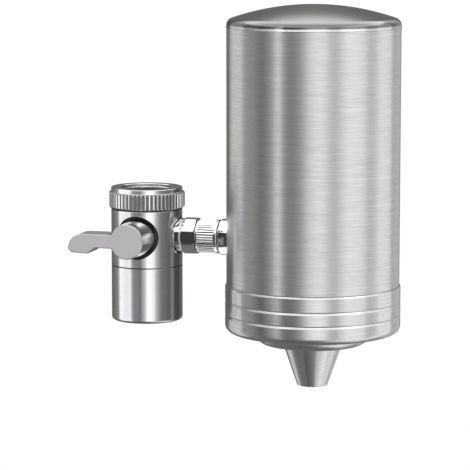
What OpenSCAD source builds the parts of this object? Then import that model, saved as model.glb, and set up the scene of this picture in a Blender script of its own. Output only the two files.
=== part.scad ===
// Tap mounted water filter: a lever diverter valve that hangs from a spout thread,
// a union at its side, and a brushed steel housing with a cartridge, a screwed base and a spout cone.
// Origin: centre of the collar nut's mouth. The spout thread leaves along +Z, the side port runs along +X,
// and the lever's spindle points along -Y.

/* [Collar nut] */
// Diameter over the grip ribs
collar_d = 30; // [28.5:0.1:36]
// Diameter of the plain shoulder above the grip
collar_shoulder_d = 28; // [26.5:0.1:29]
// Height of the plain shoulder
collar_shoulder_h = 1.6; // [1.2:0.1:3]
// Height of the fluted grip
collar_grip_h = 6.6; // [6.4:0.1:10]
// Number of flutes round the grip
collar_flutes = 56; // [24:1:64]
// Radius of one flute's cutter
collar_flute_r = 0.66; // [0.4:0.02:0.7]
// Thickness of the inner lip that hangs on the stem's flange
collar_lip_t = 1.3; // [1.1:0.1:2]
// Bore of the spout thread
spout_thread_d = 21; // [19:0.1:22]
// Depth of the turned relief behind the thread
thread_relief = 0.4; // [0.2:0.1:0.8]

/* [Swivel stem] */
// Outer diameter of the hollow stem
stem_d = 16.6; // [15:0.1:17.4]
// Water way through the stem
stem_bore_d = 10; // [7:0.1:11.5]
// Thickness of the stem's flange
stem_flange_t = 1.3; // [1:0.1:1.6]
// Thickness of the rubber washer on the flange
washer_t = 1.3; // [1.1:0.1:1.7]
// Diameter of the strainer
strainer_d = 13.8; // [12:0.1:15]
// Thickness of the strainer's plate
strainer_t = 0.5; // [0.3:0.1:0.8]

/* [Valve body] */
// Diameter of the body
body_d = 28; // [26.5:0.1:33]
// Height of the body
body_h = 22.2; // [21:0.1:27]
// Depth of the cross bores' axis below the body's top
axis_drop = 10.3; // [10:0.1:12]
// Chamfer at the body's ends
body_chamfer = 0.35; // [0.1:0.05:0.7]
// Diameter of the threaded neck under the body
neck_d = 22.8; // [20:0.1:23.6]
// Length of that neck
neck_h = 5.5; // [4:0.1:7]
// How deep the side port's flat seat is sunk into the body
spot_sink = 1.35; // [1:0.05:2]
// Radial room round the nipple's collar in that seat
spot_room = 0.5; // [0.3:0.1:1]

/* [Ball and seats] */
// Diameter of the ball
ball_d = 12; // [11.4:0.1:12.6]
// Water ways drilled in the ball
ball_port_d = 6.2; // [4.5:0.1:6.6]
// Outer diameter of a seat ring
seat_d = 10.5; // [9.6:0.1:11]
// Distance from the ball's centre to a seat's outer face
seat_reach = 7.2; // [6.9:0.1:7.6]
// Outer diameter of the bush under the lower seat
bush_d = 16; // [13:0.1:17]
// Length of that bush
bush_h = 7.6; // [5:0.1:9]

/* [Lever and spindle] */
// Diameter of the lever's hub at its back
hub_d = 15; // [14.6:0.1:16]
// Diameter of the hub at its front face
hub_front_d = 13.5; // [12.5:0.1:14.5]
// Distance from the valve's axis to the hub's front face
hub_reach = 25.8; // [24:0.1:34]
// Gap round the hub in its recess
hub_gap = 1; // [0.7:0.1:1.4]
// Length of the gland nut that holds the spindle
gland_h = 3.2; // [2.8:0.1:3.4]
// Outer diameter of the gland nut
gland_d = 13.2; // [12.8:0.1:13.6]
// Diameter of the spindle where it turns in the gland
spindle_d = 7.9; // [6.5:0.1:8.6]
// Across the flats of the spindle's square
spindle_square = 5.2; // [4:0.1:5.4]
// Length of the spindle's square
spindle_square_l = 8.6; // [6:0.1:10]
// Diameter of the spindle's flange inside the valve
spindle_flange_d = 10; // [8.8:0.1:10.4]
// Width of the tang that turns the ball
tang_w = 2.4; // [1.6:0.1:3]
// Depth of the ball's slot
tang_deep = 1.6; // [1:0.1:2]
// Distance from the hub's axis to the lever's tip
lever_reach = 23.8; // [20:0.1:36]
// Arm's thickness above the hub's axis
arm_above = 2.6; // [2:0.05:3.4]
// Arm's thickness below the hub's axis
arm_below = 2.75; // [2:0.05:3.6]
// Arm's width along the spindle
arm_w = 9.8; // [8:0.1:10.4]
// Radius on the arm's edges
arm_edge = 0.8; // [0.5:0.05:1.1]
// Radius of the curled end
curl_r = 6; // [5.4:0.1:6.6]
// How far the end curls, in degrees from upright
tip_curl = 92; // [85:1:98]
// Length of the beak under the curled end
beak_l = 8.2; // [6:0.1:10]
// Drop of the beak below the arm
beak_drop = 2.3; // [1.6:0.1:3]
// Diameter of the grub screw in the hub
grub_d = 3.8; // [2.5:0.1:4]
// Distance from the hub's back to the grub screw
grub_place = 4.6; // [3:0.1:6]

/* [Aerator sleeve] */
// Open line between the valve body and the sleeve
sleeve_gap = 0.3; // [0.2:0.05:0.5]
// Height of the sleeve under the body
sleeve_h = 21.7; // [18:0.1:28]
// Radius of the sleeve's lower edge
sleeve_edge = 1.4; // [0.6:0.1:2]
// Bore at the sleeve's lower lip
sleeve_mouth_d = 19.6; // [16:0.1:20.4]
// Thickness of the lower lip
sleeve_lip_t = 1.8; // [1.2:0.1:2.6]
// Thickness of the aerator's rubber washer
aerator_washer_t = 1.5; // [1:0.1:2]
// Thickness of the aerator's two grids
aerator_grid_t = 1.4; // [1:0.1:2]

/* [Side union] */
// Free length between the valve body and the housing wall
union_gap = 20.1; // [19.7:0.1:26]
// Across the flats of the eight sided collars
collar_flats = 13.6; // [13:0.1:14.2]
// Length of the nipple's collar
nipple_collar_l = 8.6; // [8:0.1:9.2]
// Length of the round shoulder before its flats
nipple_round_l = 2.7; // [1.6:0.1:3.4]
// Thread diameter of the nipple in the body
nipple_root_d = 12; // [11:0.1:12.4]
// Thread diameter of the nipple in the union nut
nipple_thread_d = 9.2; // [8.4:0.1:9.6]
// Water way through the nipple
nipple_bore_d = 6; // [4:0.1:6.6]
// Outer diameter of the union nut
union_nut_d = 13.3; // [12.7:0.1:14.5]
// Length of the union nut
union_nut_l = 8.85; // [8:0.05:9]
// Number of flutes on the union nut
union_flutes = 40; // [20:1:48]
// Length of the nipple's thread inside the nut
nipple_thread_l = 4.6; // [3.9:0.1:4.8]
// Thickness of the union's flat gasket
union_gasket_t = 1.2; // [0.8:0.1:1.3]
// Outer diameter of the tail that enters the boss
tail_d = 7.6; // [6.8:0.1:8]
// Water way through the tail
tail_bore_d = 5.4; // [4:0.1:5.8]
// Outer diameter of the boss's spigot through the wall
boss_spigot_d = 9.8; // [9:0.1:11]

/* [Housing] */
// Outer diameter of the housing
shell_d = 67; // [64:0.2:80]
// Wall of the housing
shell_t = 1; // [0.6:0.1:1.5]
// Height of the straight wall, up to the rim
shell_h = 101.4; // [90:0.1:140]
// Height at which the crown's curve would meet the wall, above the rim
shoulder_h = 1.1; // [0.8:0.1:3]
// Radius of the dome's crown
crown_r = 105; // [100:1:140]
// Radius of the knuckle between the crown and the rim
knuckle_r = 16; // [12:0.5:18]
// Height of the side port above the housing's lower end
port_rise = 17; // [15.5:0.1:26]
// Length of the neck ring inside the housing
neck_ring_in = 7; // [5:0.1:8]
// Length of the threaded neck below the housing
neck_ring_out = 12; // [10:0.1:13]
// Radial wall of the neck ring at its thread
neck_ring_t = 2; // [1.5:0.1:2.3]
// Radial step from the housing to the thread
neck_step = 2.5; // [2.2:0.1:3]

/* [Base cap] */
// How far the base stands proud of the housing, on the radius
base_proud = 0.5; // [0:0.05:1.2]
// Height of the base's ring, from its top to its flat underside
base_h = 18.2; // [17.6:0.1:22]
// Wall of the base's floor
base_floor_t = 2; // [1.4:0.1:2.4]
// Radius on the base's lower edge
base_edge = 3; // [1.5:0.1:4]
// Places of the two grooves below the base's top
groove_at = [5.7, 11];
// Width of a groove
groove_w = 1.3; // [0.8:0.1:2]
// Depth of a groove
groove_depth = 0.5; // [0.3:0.05:0.8]
// Diameter of the pressed dish under the base
dish_d = 44.2; // [38:0.2:50]
// Drop of the dish below the base's underside
dish_h = 4.65; // [4.6:0.05:6]
// Radius on the dish's lower edge
dish_edge = 3.9; // [2.2:0.1:3.9]
// Thickness of the flat seal ring
seal_t = 1.5; // [1:0.1:2]

/* [Spout cone] */
// Diameter of the cone where it leaves the dish
cone_d = 23.2; // [20:0.1:28]
// Diameter at the cone's tip
tip_d = 11.8; // [9:0.1:13]
// Length of the cone
cone_h = 16.55; // [12:0.1:24]
// Bore at the tip
tip_bore_d = 7.2; // [5:0.1:8]
// Diameter of the threaded shank above the cone
shank_d = 13; // [12.4:0.1:15]
// Bore of the socket that takes the cartridge's spigot
socket_d = 9.4; // [9:0.1:10]
// Height of the lock nut
lock_nut_h = 4; // [3:0.1:4.4]
// Across the flats of the lock nut
lock_nut_flats = 18; // [16.4:0.2:22]
// Thickness of the fibre washer under the lock nut
lock_washer_t = 0.8; // [0.5:0.1:1.2]

/* [Cartridge] */
// Radial room between the cartridge and the neck's bore
cartridge_room = 1.6; // [0.8:0.1:4]
// Gap between the cartridge's upper cap and the rim's level
cartridge_headroom = 4.7; // [3:0.1:12]
// Thickness of an end cap's disc
end_cap_t = 2.5; // [1.8:0.1:3.5]
// Height of an end cap's skirt
end_cap_skirt = 5; // [3:0.1:8]
// Wall of an end cap's skirt
end_cap_wall = 1.2; // [0.8:0.1:1.6]
// Number of pleats in the sediment sleeve
pleats = 30; // [20:1:36]
// Depth of a pleat
pleat_depth = 2.4; // [1.5:0.1:3]
// Thickness of the pleated cloth
pleat_t = 0.8; // [0.5:0.1:1]
// Radial room between the pleats and the carbon block
carbon_room = 0.7; // [0.3:0.1:3]
// Outer diameter of the perforated core
core_d = 16.4; // [14:0.1:20]
// Wall of the core
core_t = 1.3; // [0.9:0.1:1.8]
// Height of the locating ribs on the upper cap
rib_h = 6; // [4:0.1:8]
// Distance from the cap's rim to the ribs' outer ends
rib_inset = 6; // [3:0.5:9]
// Diameter of the small ring that the ribs meet
rib_ring_d = 15; // [12:0.5:20]
// Length of the outlet spigot
spigot_l = 9.5; // [8.5:0.1:12]

/* [Clearances] */
// Radial room of a turning or sliding fit
running = 0.15; // [0.1:0.01:0.2]
// Radial room of a fixed or threaded fit
seated = 0.05; // [0.03:0.01:0.08]
// Axial room of a captive part
end_play = 0.1; // [0.06:0.01:0.15]
// Gap between a turning part and its neighbour's face
face_gap = 0.3; // [0.2:0.05:0.45]

/* [Hidden] */
$fn = 72;
eps = 0.01;

// Collar nut and stem, measured down from the nut's mouth
collar_h = collar_shoulder_h + collar_grip_h;
thread_r = spout_thread_d / 2;
relief_r = thread_r + thread_relief;
stem_r = stem_d / 2;
flange_bottom = -collar_h + collar_lip_t + end_play;
flange_top = flange_bottom + stem_flange_t;
washer_top = flange_top + washer_t;
flange_r = thread_r - 0.1;
strainer_r = strainer_d / 2;

// Valve body
body_r = body_d / 2;
body_top = -collar_h - face_gap;
body_bottom = body_top - body_h;
axis_z = body_top - axis_drop;
neck_bottom = body_bottom - neck_h;
ball_r = ball_d / 2;
seat_r = seat_d / 2;
seat_hole_r = ball_port_d / 2 + 0.1;
seat_front = seat_hole_r + 0.5;
chamber_r = ball_r + 2 * running;
nipple_face = body_r - spot_sink;
spot_r = collar_flats / 2 + spot_room;

// Lever and spindle, measured along the spindle from the valve's axis
gland_end = seat_reach + gland_h;
recess_r = hub_d / 2 + hub_gap;
hub_back = gland_end + face_gap + 0.2;
spindle_end = hub_back + spindle_square_l;
curl_x = -(lever_reach - curl_r);
curl_z = arm_above - curl_r;
beak_z = -arm_below - beak_drop;
spindle_oring_r = 0.55;
grub_at = hub_back + grub_place;

// Aerator sleeve
sleeve_top = body_bottom - sleeve_gap;
sleeve_bottom = sleeve_top - sleeve_h;
insert_r = neck_d / 2 - 0.1;
aerator_top = neck_bottom - seated - aerator_washer_t;
insert_top = aerator_top - 0.6;
insert_seat = sleeve_bottom + sleeve_lip_t;

// Side union, measured along the port from the valve's axis
nipple_end = nipple_face + nipple_collar_l;
nut_start = nipple_end + face_gap;
nut_end = nut_start + union_nut_l;
gasket_start = nipple_end + nipple_thread_l;
tail_start = gasket_start + union_gasket_t;
nut_lip_start = nut_end - 1.4;
tail_flange_end = nut_lip_start - end_play;
boss_start = nut_end + 2 * face_gap;
wall_x = body_r + union_gap;
tail_end = wall_x - 0.6;

// Housing
shell_r = shell_d / 2;
shell_in_r = shell_r - shell_t;
housing_x = wall_x + shell_r;
shell_bottom = axis_z - port_rise;
rim_z = shell_bottom + shell_h;
crown_z = rim_z + shoulder_h - sqrt(crown_r * crown_r - shell_r * shell_r);
neck_r = shell_r - neck_step;
neck_bore_r = neck_r - neck_ring_t;
neck_end = shell_bottom - neck_ring_out;

// Base cap
base_r = shell_r + base_proud;
base_top = shell_bottom - face_gap;
base_bottom = base_top - base_h;
dish_r = dish_d / 2;
dish_bottom = base_bottom - dish_h;
seal_top = neck_end - end_play;
ledge_z = seal_top - seal_t;
base_bore_r = neck_r + running;
floor_z = base_bottom + base_floor_t;
dish_floor = dish_bottom + base_floor_t;
shank_top = dish_floor + lock_washer_t + lock_nut_h + 0.7;
cone_tip = dish_bottom - cone_h;

// Cartridge
cartridge_r = neck_bore_r - cartridge_room;
cartridge_bottom = shank_top + end_play;
media_bottom = cartridge_bottom + end_cap_t;
cartridge_top = rim_z - cartridge_headroom;
media_top = cartridge_top - end_cap_t;
spigot_r = socket_d / 2 - 0.3;
spigot_end = cartridge_bottom - spigot_l;
socket_bottom = spigot_end - 0.5;
spigot_ring_r = 0.45;
rib_ring_r = rib_ring_d / 2;
skirt_in_r = cartridge_r - end_cap_wall;
pleat_out_r = skirt_in_r - 0.2;
carbon_r = pleat_out_r - pleat_depth - pleat_t - carbon_room;

// Colours
steel = [0.76, 0.76, 0.75];
nickel = [0.62, 0.62, 0.64];
chrome = [0.84, 0.84, 0.86];
brass = [0.78, 0.62, 0.32];
rubber = [0.08, 0.08, 0.08];
seat_white = [0.92, 0.92, 0.9];
plastic = [0.9, 0.91, 0.92];
cloth = [0.95, 0.94, 0.9];
carbon = [0.13, 0.13, 0.14];
fibre = [0.62, 0.28, 0.2];

// Points of an arc from angle a0 to a1
function arc(cx, cy, r, a0, a1, n = 6) =
    [for (i = [0:n]) [cx + r * cos(a0 + (a1 - a0) * i / n), cy + r * sin(a0 + (a1 - a0) * i / n)]];

// Places along the spindle, the port and the housing's axis
module on_spindle() { translate([0, 0, axis_z]) rotate([90, 0, 0]) children(); }
module on_port(x = 0) { translate([x, 0, axis_z]) rotate([0, 90, 0]) children(); }
module on_housing() { translate([housing_x, 0, 0]) children(); }

// A plain ring between two heights
module ring(r_out, r_in, z0, z1) {
    translate([0, 0, z0]) difference() {
        cylinder(r = r_out, h = z1 - z0);
        translate([0, 0, -1]) cylinder(r = r_in, h = z1 - z0 + 2);
    }
}

// A round cord ring
module oring(centre_r, cord_r, z) {
    translate([0, 0, z]) rotate_extrude() translate([centre_r, 0]) circle(r = cord_r);
}

// A disc turned with a chamfer at each end
module turned(r, z0, z1, c0, c1) {
    rotate_extrude() polygon([[0, z0], [r - c0, z0], [r, z0 + c0], [r, z1 - c1], [r - c1, z1], [0, z1]]);
}

// An outline of straight flutes round a circle
module fluted(r, count, flute_r) {
    difference() {
        circle(r = r);
        for (i = [0:count - 1])
            rotate(360 * i / count) translate([r + 0.25 * flute_r, 0]) circle(r = flute_r);
    }
}

// Holes on a triangular grid inside a circle
module hole_grid(r, pitch, hole_r, sides) {
    rows = floor(r / pitch);
    for (i = [-rows:rows], j = [-rows:rows])
        let (p = [pitch * (i + j / 2), pitch * j * sin(60)])
            if (norm(p) + hole_r < r) translate(p) circle(r = hole_r, $fn = sides);
}

module collar_nut() {
    color(nickel) difference() {
        union() {
            turned(collar_shoulder_d / 2, -collar_shoulder_h - 1, 0, 0.2, 0.3);
            intersection() {
                translate([0, 0, -collar_h]) linear_extrude(collar_grip_h)
                    fluted(collar_d / 2, collar_flutes, collar_flute_r);
                turned(collar_d / 2, -collar_h, -collar_shoulder_h, 0.7, 0.7);
            }
        }
        translate([0, 0, washer_top]) cylinder(r = thread_r, h = 10);
        translate([0, 0, -collar_h + collar_lip_t])
            cylinder(r = relief_r, h = washer_top + collar_h - collar_lip_t);
        translate([0, 0, -collar_h - 1]) cylinder(r = stem_r + running, h = collar_lip_t + 2);
    }
}

module swivel_stem() {
    color(brass) difference() {
        union() {
            translate([0, 0, flange_bottom]) cylinder(r = flange_r, h = stem_flange_t);
            translate([0, 0, axis_z + seat_reach])
                cylinder(r = stem_r, h = flange_bottom - axis_z - seat_reach);
        }
        translate([0, 0, axis_z]) cylinder(r = stem_bore_d / 2, h = washer_top - axis_z);
        for (a = [0, 90])
            rotate(a) translate([-flange_r, -0.8, flange_top - 0.5]) cube([2 * flange_r, 1.6, 1]);
    }
}

module inlet_washer() {
    color(rubber) ring(flange_r, strainer_r + seated, flange_top, washer_top);
}

module inlet_strainer() {
    color(chrome) union() {
        ring(strainer_r, strainer_r - 0.9, flange_top, washer_top - 0.2);
        translate([0, 0, flange_top]) linear_extrude(strainer_t) difference() {
            circle(r = strainer_r - 0.5);
            hole_grid(strainer_r - 0.9, 1.35, 0.4, 24);
        }
    }
}

module valve_body() {
    color(nickel) difference() {
        union() {
            turned(body_r, body_bottom, body_top, body_chamfer, body_chamfer);
            turned(neck_d / 2, neck_bottom, body_bottom + 1, 0.4, 0);
        }
        // water way, top to bottom
        translate([0, 0, axis_z + seat_reach]) cylinder(r = stem_r + seated, h = axis_drop);
        translate([0, 0, axis_z - seat_reach]) cylinder(r = seat_r + seated, h = 2 * seat_reach);
        translate([0, 0, neck_bottom - 1])
            cylinder(r = bush_d / 2 + seated, h = axis_z - seat_reach - neck_bottom + 1);
        // side port with its flat seat
        on_port() cylinder(r = seat_r + seated, h = seat_reach);
        on_port(seat_reach) cylinder(r = nipple_root_d / 2 + seated, h = body_r);
        on_port(nipple_face) cylinder(r = spot_r, h = body_r);
        // ball chamber, gland thread and the lever's recess
        on_spindle() {
            translate([0, 0, -chamber_r]) cylinder(r = chamber_r, h = chamber_r + seat_reach);
            translate([0, 0, seat_reach - eps]) cylinder(r = gland_d / 2 + seated, h = body_r);
            translate([0, 0, gland_end]) cylinder(r = recess_r, h = body_r);
        }
    }
}

// One soft seat ring, along +Z from the ball's centre; its cone keeps it clear of the next seat
module seat() {
    color(seat_white) difference() {
        intersection() {
            translate([0, 0, seat_front]) cylinder(r = seat_r, h = seat_reach - seat_front);
            cylinder(r1 = 0, r2 = seat_reach - end_play, h = seat_reach);
        }
        cylinder(r = seat_hole_r, h = 2 * seat_reach);
        sphere(r = ball_r + 0.1);
    }
}

module upper_seat() { translate([0, 0, axis_z]) seat(); }
module lower_seat() { translate([0, 0, axis_z]) rotate([180, 0, 0]) seat(); }
module side_seat() { on_port() seat(); }

module seat_bush() {
    color(brass) translate([0, 0, axis_z - seat_reach - bush_h]) difference() {
        cylinder(r = bush_d / 2, h = bush_h);
        translate([0, 0, -1]) cylinder(r = stem_bore_d / 2 - 0.4, h = bush_h + 2);
        translate([-bush_d, -1, -1]) cube([2 * bush_d, 2, 2.4]);
    }
}

// Three water ways meet in the ball: up, and to both sides of the spindle
module valve_ball() {
    color(chrome) on_spindle() difference() {
        sphere(r = ball_r);
        rotate([0, 90, 0]) cylinder(r = ball_port_d / 2, h = 3 * ball_r, center = true);
        rotate([-90, 0, 0]) cylinder(r = ball_port_d / 2, h = 2 * ball_r);
        translate([-tang_w / 2 - 0.1, -ball_r, ball_r - tang_deep]) cube([tang_w + 0.2, 2 * ball_r, ball_r]);
    }
}

module spindle() {
    color(brass) on_spindle() difference() {
        union() {
            intersection() {
                translate([-tang_w / 2, -spindle_d / 2, ball_r - tang_deep + 0.1])
                    cube([tang_w, spindle_d, tang_deep + 0.5]);
                cylinder(r = spindle_d / 2, h = 2 * ball_r);
            }
            translate([0, 0, ball_r + 0.1]) cylinder(r = spindle_flange_d / 2, h = seat_reach - ball_r - 0.2);
            translate([0, 0, ball_r + 0.2]) cylinder(r = spindle_d / 2, h = hub_back + 0.6 - ball_r - 0.2);
            translate([-spindle_square / 2, -spindle_square / 2, hub_back])
                cube([spindle_square, spindle_square, spindle_end - hub_back]);
        }
        translate([0, 0, seat_reach + 0.9])
            ring(spindle_d, spindle_d / 2 - 2 * spindle_oring_r + 0.05, 0, 2 * spindle_oring_r + 0.1);
    }
}

module spindle_oring() {
    color(rubber) on_spindle()
        oring(spindle_d / 2 - spindle_oring_r + 0.05, spindle_oring_r, seat_reach + 0.95 + spindle_oring_r);
}

module gland_nut() {
    color(rubber) on_spindle() difference() {
        turned(gland_d / 2, seat_reach, gland_end, 0.2, 0.3);
        cylinder(r = spindle_d / 2 + 0.1, h = 2 * gland_end);
        for (x = [-1, 1]) translate([x * 5.3, 0, gland_end - 1.6]) cylinder(r = 0.7, h = 2, $fn = 24);
    }
}

// Side outline of the lever's arm: a bar that curls down to a blunt beak
module arm_outline() {
    translate([curl_x, -arm_below]) square([-curl_x, arm_above + arm_below]);
    polygon(concat(arc(curl_x, curl_z, curl_r, 90, 90 + tip_curl, 12),
        [[-lever_reach + 1.4, beak_z + 0.3], [-lever_reach + beak_l, beak_z],
         [-lever_reach + beak_l + 1.2 * beak_drop, -arm_below]]));
}

module lever_handle() {
    hub_r = hub_d / 2;
    front_r = hub_front_d / 2;
    socket_w = spindle_square + 0.1;
    color([0.7, 0.69, 0.7]) on_spindle() difference() {
        union() {
            rotate_extrude() polygon(concat([[0, hub_back], [hub_r - 0.5, hub_back], [hub_r, hub_back + 0.5]],
                arc(front_r - 0.6, hub_reach - 0.6, 0.6, 0, 90, 5), [[0, hub_reach]]));
            translate([0, 0, hub_reach - arm_w + arm_edge]) minkowski() {
                linear_extrude(arm_w - 2 * arm_edge) offset(delta = -arm_edge) arm_outline();
                sphere(r = arm_edge, $fn = 16);
            }
        }
        translate([0, 0, hub_back - 1]) cylinder(r = spindle_d / 2 + 0.1, h = 1.8);
        translate([-socket_w / 2, -socket_w / 2, hub_back - 1])
            cube([socket_w, socket_w, spindle_end - hub_back + 1.2]);
        translate([0, 0, grub_at]) rotate([90, 0, 0]) cylinder(r = grub_d / 2 + seated, h = hub_d);
    }
}

module lever_grub_screw() {
    inner = spindle_square / 2 + 0.1;
    color(rubber) on_spindle() translate([0, 0, grub_at]) rotate([90, 0, 0]) difference() {
        turned(grub_d / 2, inner, hub_d / 2 - 0.6, 0.4, 0.2);
        translate([0, 0, hub_d / 2 - 2.2]) cylinder(r = grub_d * 0.26, h = 4, $fn = 6);
    }
}

module aerator_sleeve() {
    color(nickel) rotate_extrude() polygon(concat(
        [[neck_d / 2 + seated, sleeve_top], [body_r - body_chamfer, sleeve_top],
         [body_r, sleeve_top - body_chamfer]],
        arc(body_r - sleeve_edge, sleeve_bottom + sleeve_edge, sleeve_edge, 0, -90, 6),
        [[sleeve_mouth_d / 2 + 0.3, sleeve_bottom], [sleeve_mouth_d / 2, sleeve_bottom + 0.3],
         [sleeve_mouth_d / 2, insert_seat], [neck_d / 2 + seated, insert_seat]]));
}

module aerator_washer() {
    color(rubber) ring(insert_r, bush_d / 2, aerator_top, neck_bottom - seated);
}

module aerator_strainer() {
    color(chrome) translate([0, 0, insert_top]) linear_extrude(0.6) difference() {
        circle(r = insert_r);
        hole_grid(insert_r - 1.6, 1.7, 0.5, 24);
    }
}

// A cup with a jet plate on top and a grid of cells at its mouth
module aerator_insert() {
    mouth = sleeve_bottom + 0.6;
    mouth_r = sleeve_mouth_d / 2 - 0.2;
    color(plastic) difference() {
        union() {
            translate([0, 0, insert_seat]) cylinder(r = insert_r, h = insert_top - insert_seat);
            translate([0, 0, mouth]) cylinder(r = mouth_r, h = insert_seat - mouth + 0.5);
        }
        translate([0, 0, mouth + aerator_grid_t])
            cylinder(r = mouth_r - 1.2, h = insert_top - mouth - 2 * aerator_grid_t);
        translate([0, 0, insert_top - aerator_grid_t - 1]) linear_extrude(aerator_grid_t + 2)
            hole_grid(mouth_r - 1.2, 3.2, 0.6, 24);
        translate([0, 0, mouth - 1]) linear_extrude(aerator_grid_t + 2)
            hole_grid(mouth_r - 0.8, 2.5, 1.2, 6);
        for (i = [0:7]) rotate(i * 45) translate([insert_r - 0.7, -1, insert_seat - 1])
            cube([2, 2, insert_top - insert_seat - aerator_grid_t]);
    }
}

// Eight sided collar with turned corners, between two places along the port
module eight_sided(x0, x1, left, right) {
    corner = collar_flats / 2 / cos(22.5);
    intersection() {
        translate([0, 0, x0]) rotate(22.5) cylinder(r = corner, h = x1 - x0, $fn = 8);
        turned(corner - 0.12, x0, x1, left, right);
    }
}

module side_nipple() {
    color(chrome) on_port() difference() {
        union() {
            translate([0, 0, seat_reach]) cylinder(r = nipple_root_d / 2, h = nipple_face - seat_reach);
            turned(collar_flats / 2 - 0.1, nipple_face, nipple_face + nipple_round_l, 0.5, 0.2);
            eight_sided(nipple_face + nipple_round_l - 0.3, nipple_end, 0.9, 0.3);
            turned(nipple_thread_d / 2, nipple_end - 1, gasket_start, 0, 0.3);
        }
        cylinder(r = nipple_bore_d / 2, h = 2 * gasket_start);
        ring(nipple_root_d, nipple_root_d / 2 - 1, nipple_face - 1.15, nipple_face - eps);
    }
}

module nipple_oring() {
    color(rubber) on_port() oring(nipple_root_d / 2 - 0.5, 0.49, nipple_face - 0.6);
}

module union_nut() {
    color(chrome) on_port() difference() {
        intersection() {
            union() {
                translate([0, 0, nut_start]) linear_extrude(union_nut_l - 1.2)
                    fluted(union_nut_d / 2, union_flutes, 0.3);
                translate([0, 0, nut_end - 1.3]) cylinder(r = union_nut_d / 2, h = 1.3);
                translate([0, 0, nut_start]) cylinder(r = union_nut_d / 2, h = 0.5);
            }
            turned(union_nut_d / 2 + eps, nut_start, nut_end, 0.4, 0.6);
        }
        cylinder(r = tail_d / 2 + running, h = 2 * nut_end);
        translate([0, 0, nut_start - 1]) cylinder(r = nipple_thread_d / 2 + running, h = nipple_thread_l + 1);
        translate([0, 0, gasket_start - face_gap])
            cylinder(r = tail_d / 2 + 1.6, h = nut_lip_start - gasket_start + face_gap);
    }
}

module union_gasket() {
    color(rubber) on_port() ring(tail_d / 2 + 1.4, nipple_bore_d / 2, gasket_start, tail_start);
}

module union_tail() {
    color(brass) on_port() difference() {
        union() {
            translate([0, 0, tail_start]) cylinder(r = tail_d / 2 + 1.4, h = tail_flange_end - tail_start);
            translate([0, 0, tail_start]) cylinder(r = tail_d / 2, h = tail_end - tail_start);
        }
        cylinder(r = tail_bore_d / 2, h = 2 * tail_end);
    }
}

// Welded on the housing: its collar is cut to the wall's curve, and its spigot fills the wall's hole
module inlet_boss() {
    color(chrome) difference() {
        union() {
            difference() {
                on_port() eight_sided(boss_start, wall_x + 2, 0.5, 0);
                on_housing() translate([0, 0, shell_bottom]) cylinder(r = shell_r, h = shell_h);
            }
            on_port(boss_start + 0.5) cylinder(r = boss_spigot_d / 2, h = wall_x + shell_t + 0.5 - boss_start);
        }
        on_port() {
            cylinder(r = tail_d / 2 + seated, h = tail_end);
            cylinder(r = tail_bore_d / 2, h = 2 * wall_x);
        }
    }
}

// Centre of the knuckle arc that is tangent to the crown and ends on the rim
function knuckle_centre() =
    let (far = crown_r - knuckle_r, d = norm([shell_r, rim_z - crown_z]),
         u = [shell_r, rim_z - crown_z] / d,
         a = (far * far - knuckle_r * knuckle_r + d * d) / (2 * d),
         h = sqrt(far * far - a * a))
    [0, crown_z] + a * u + h * [-u[1], u[0]];

// Half profile of the dome, from the rim to the axis, inside the outer face by inset
function dome_points(inset) =
    let (k = knuckle_centre(), r = knuckle_r - inset,
         join = atan2(k[1] - crown_z, k[0]), start = acos((shell_r - inset - k[0]) / r))
    concat(arc(k[0], k[1], r, start, join, 6), arc(0, crown_z, crown_r - inset, join, 90, 8));

function reversed(list) = [for (i = [len(list) - 1:-1:0]) list[i]];

module housing_shell() {
    color(steel) difference() {
        on_housing() rotate_extrude() polygon(concat([[shell_in_r, shell_bottom], [shell_r, shell_bottom]],
            dome_points(0), reversed(dome_points(shell_t))));
        on_port() cylinder(r = boss_spigot_d / 2 + seated, h = housing_x);
    }
}

module neck_ring() {
    seat_in = shell_in_r - seated;
    color(steel) on_housing() rotate_extrude() polygon([
        [neck_bore_r, neck_end], [neck_r - 0.6, neck_end], [neck_r, neck_end + 0.6], [neck_r, shell_bottom],
        [seat_in, shell_bottom], [seat_in, shell_bottom + neck_ring_in],
        [seat_in - 1.2, shell_bottom + neck_ring_in], [neck_bore_r, shell_bottom + neck_ring_in - 1.5]]);
}

module base_seal() {
    color(rubber) on_housing() ring(base_bore_r - 0.1, neck_bore_r - 0.2, ledge_z, seal_top);
}

// One groove on the base's side, as points down the profile
function groove(z) = [[base_r, z + groove_w / 2], [base_r - groove_depth, z], [base_r, z - groove_w / 2]];

module base_cap() {
    t = base_floor_t;
    color(steel) on_housing() rotate_extrude() polygon(concat(
        [[base_bore_r, base_top], [base_r - 0.4, base_top], [base_r, base_top - 0.4]],
        [for (g = groove_at) each groove(base_top - g)],
        arc(base_r - base_edge, base_bottom + base_edge, base_edge, 0, -90),
        [[dish_r + 0.6, base_bottom], [dish_r, base_bottom - 0.6]],
        arc(dish_r - dish_edge, dish_bottom + dish_edge, dish_edge, 0, -90),
        [[shank_d / 2 + seated, dish_bottom], [shank_d / 2 + seated, dish_floor]],
        arc(dish_r - dish_edge, dish_bottom + dish_edge, dish_edge - t, -90, 0),
        [[dish_r - t, floor_z], [neck_bore_r - 0.4, floor_z], [neck_bore_r - 0.4, ledge_z],
         [base_bore_r, ledge_z]]));
}

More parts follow.
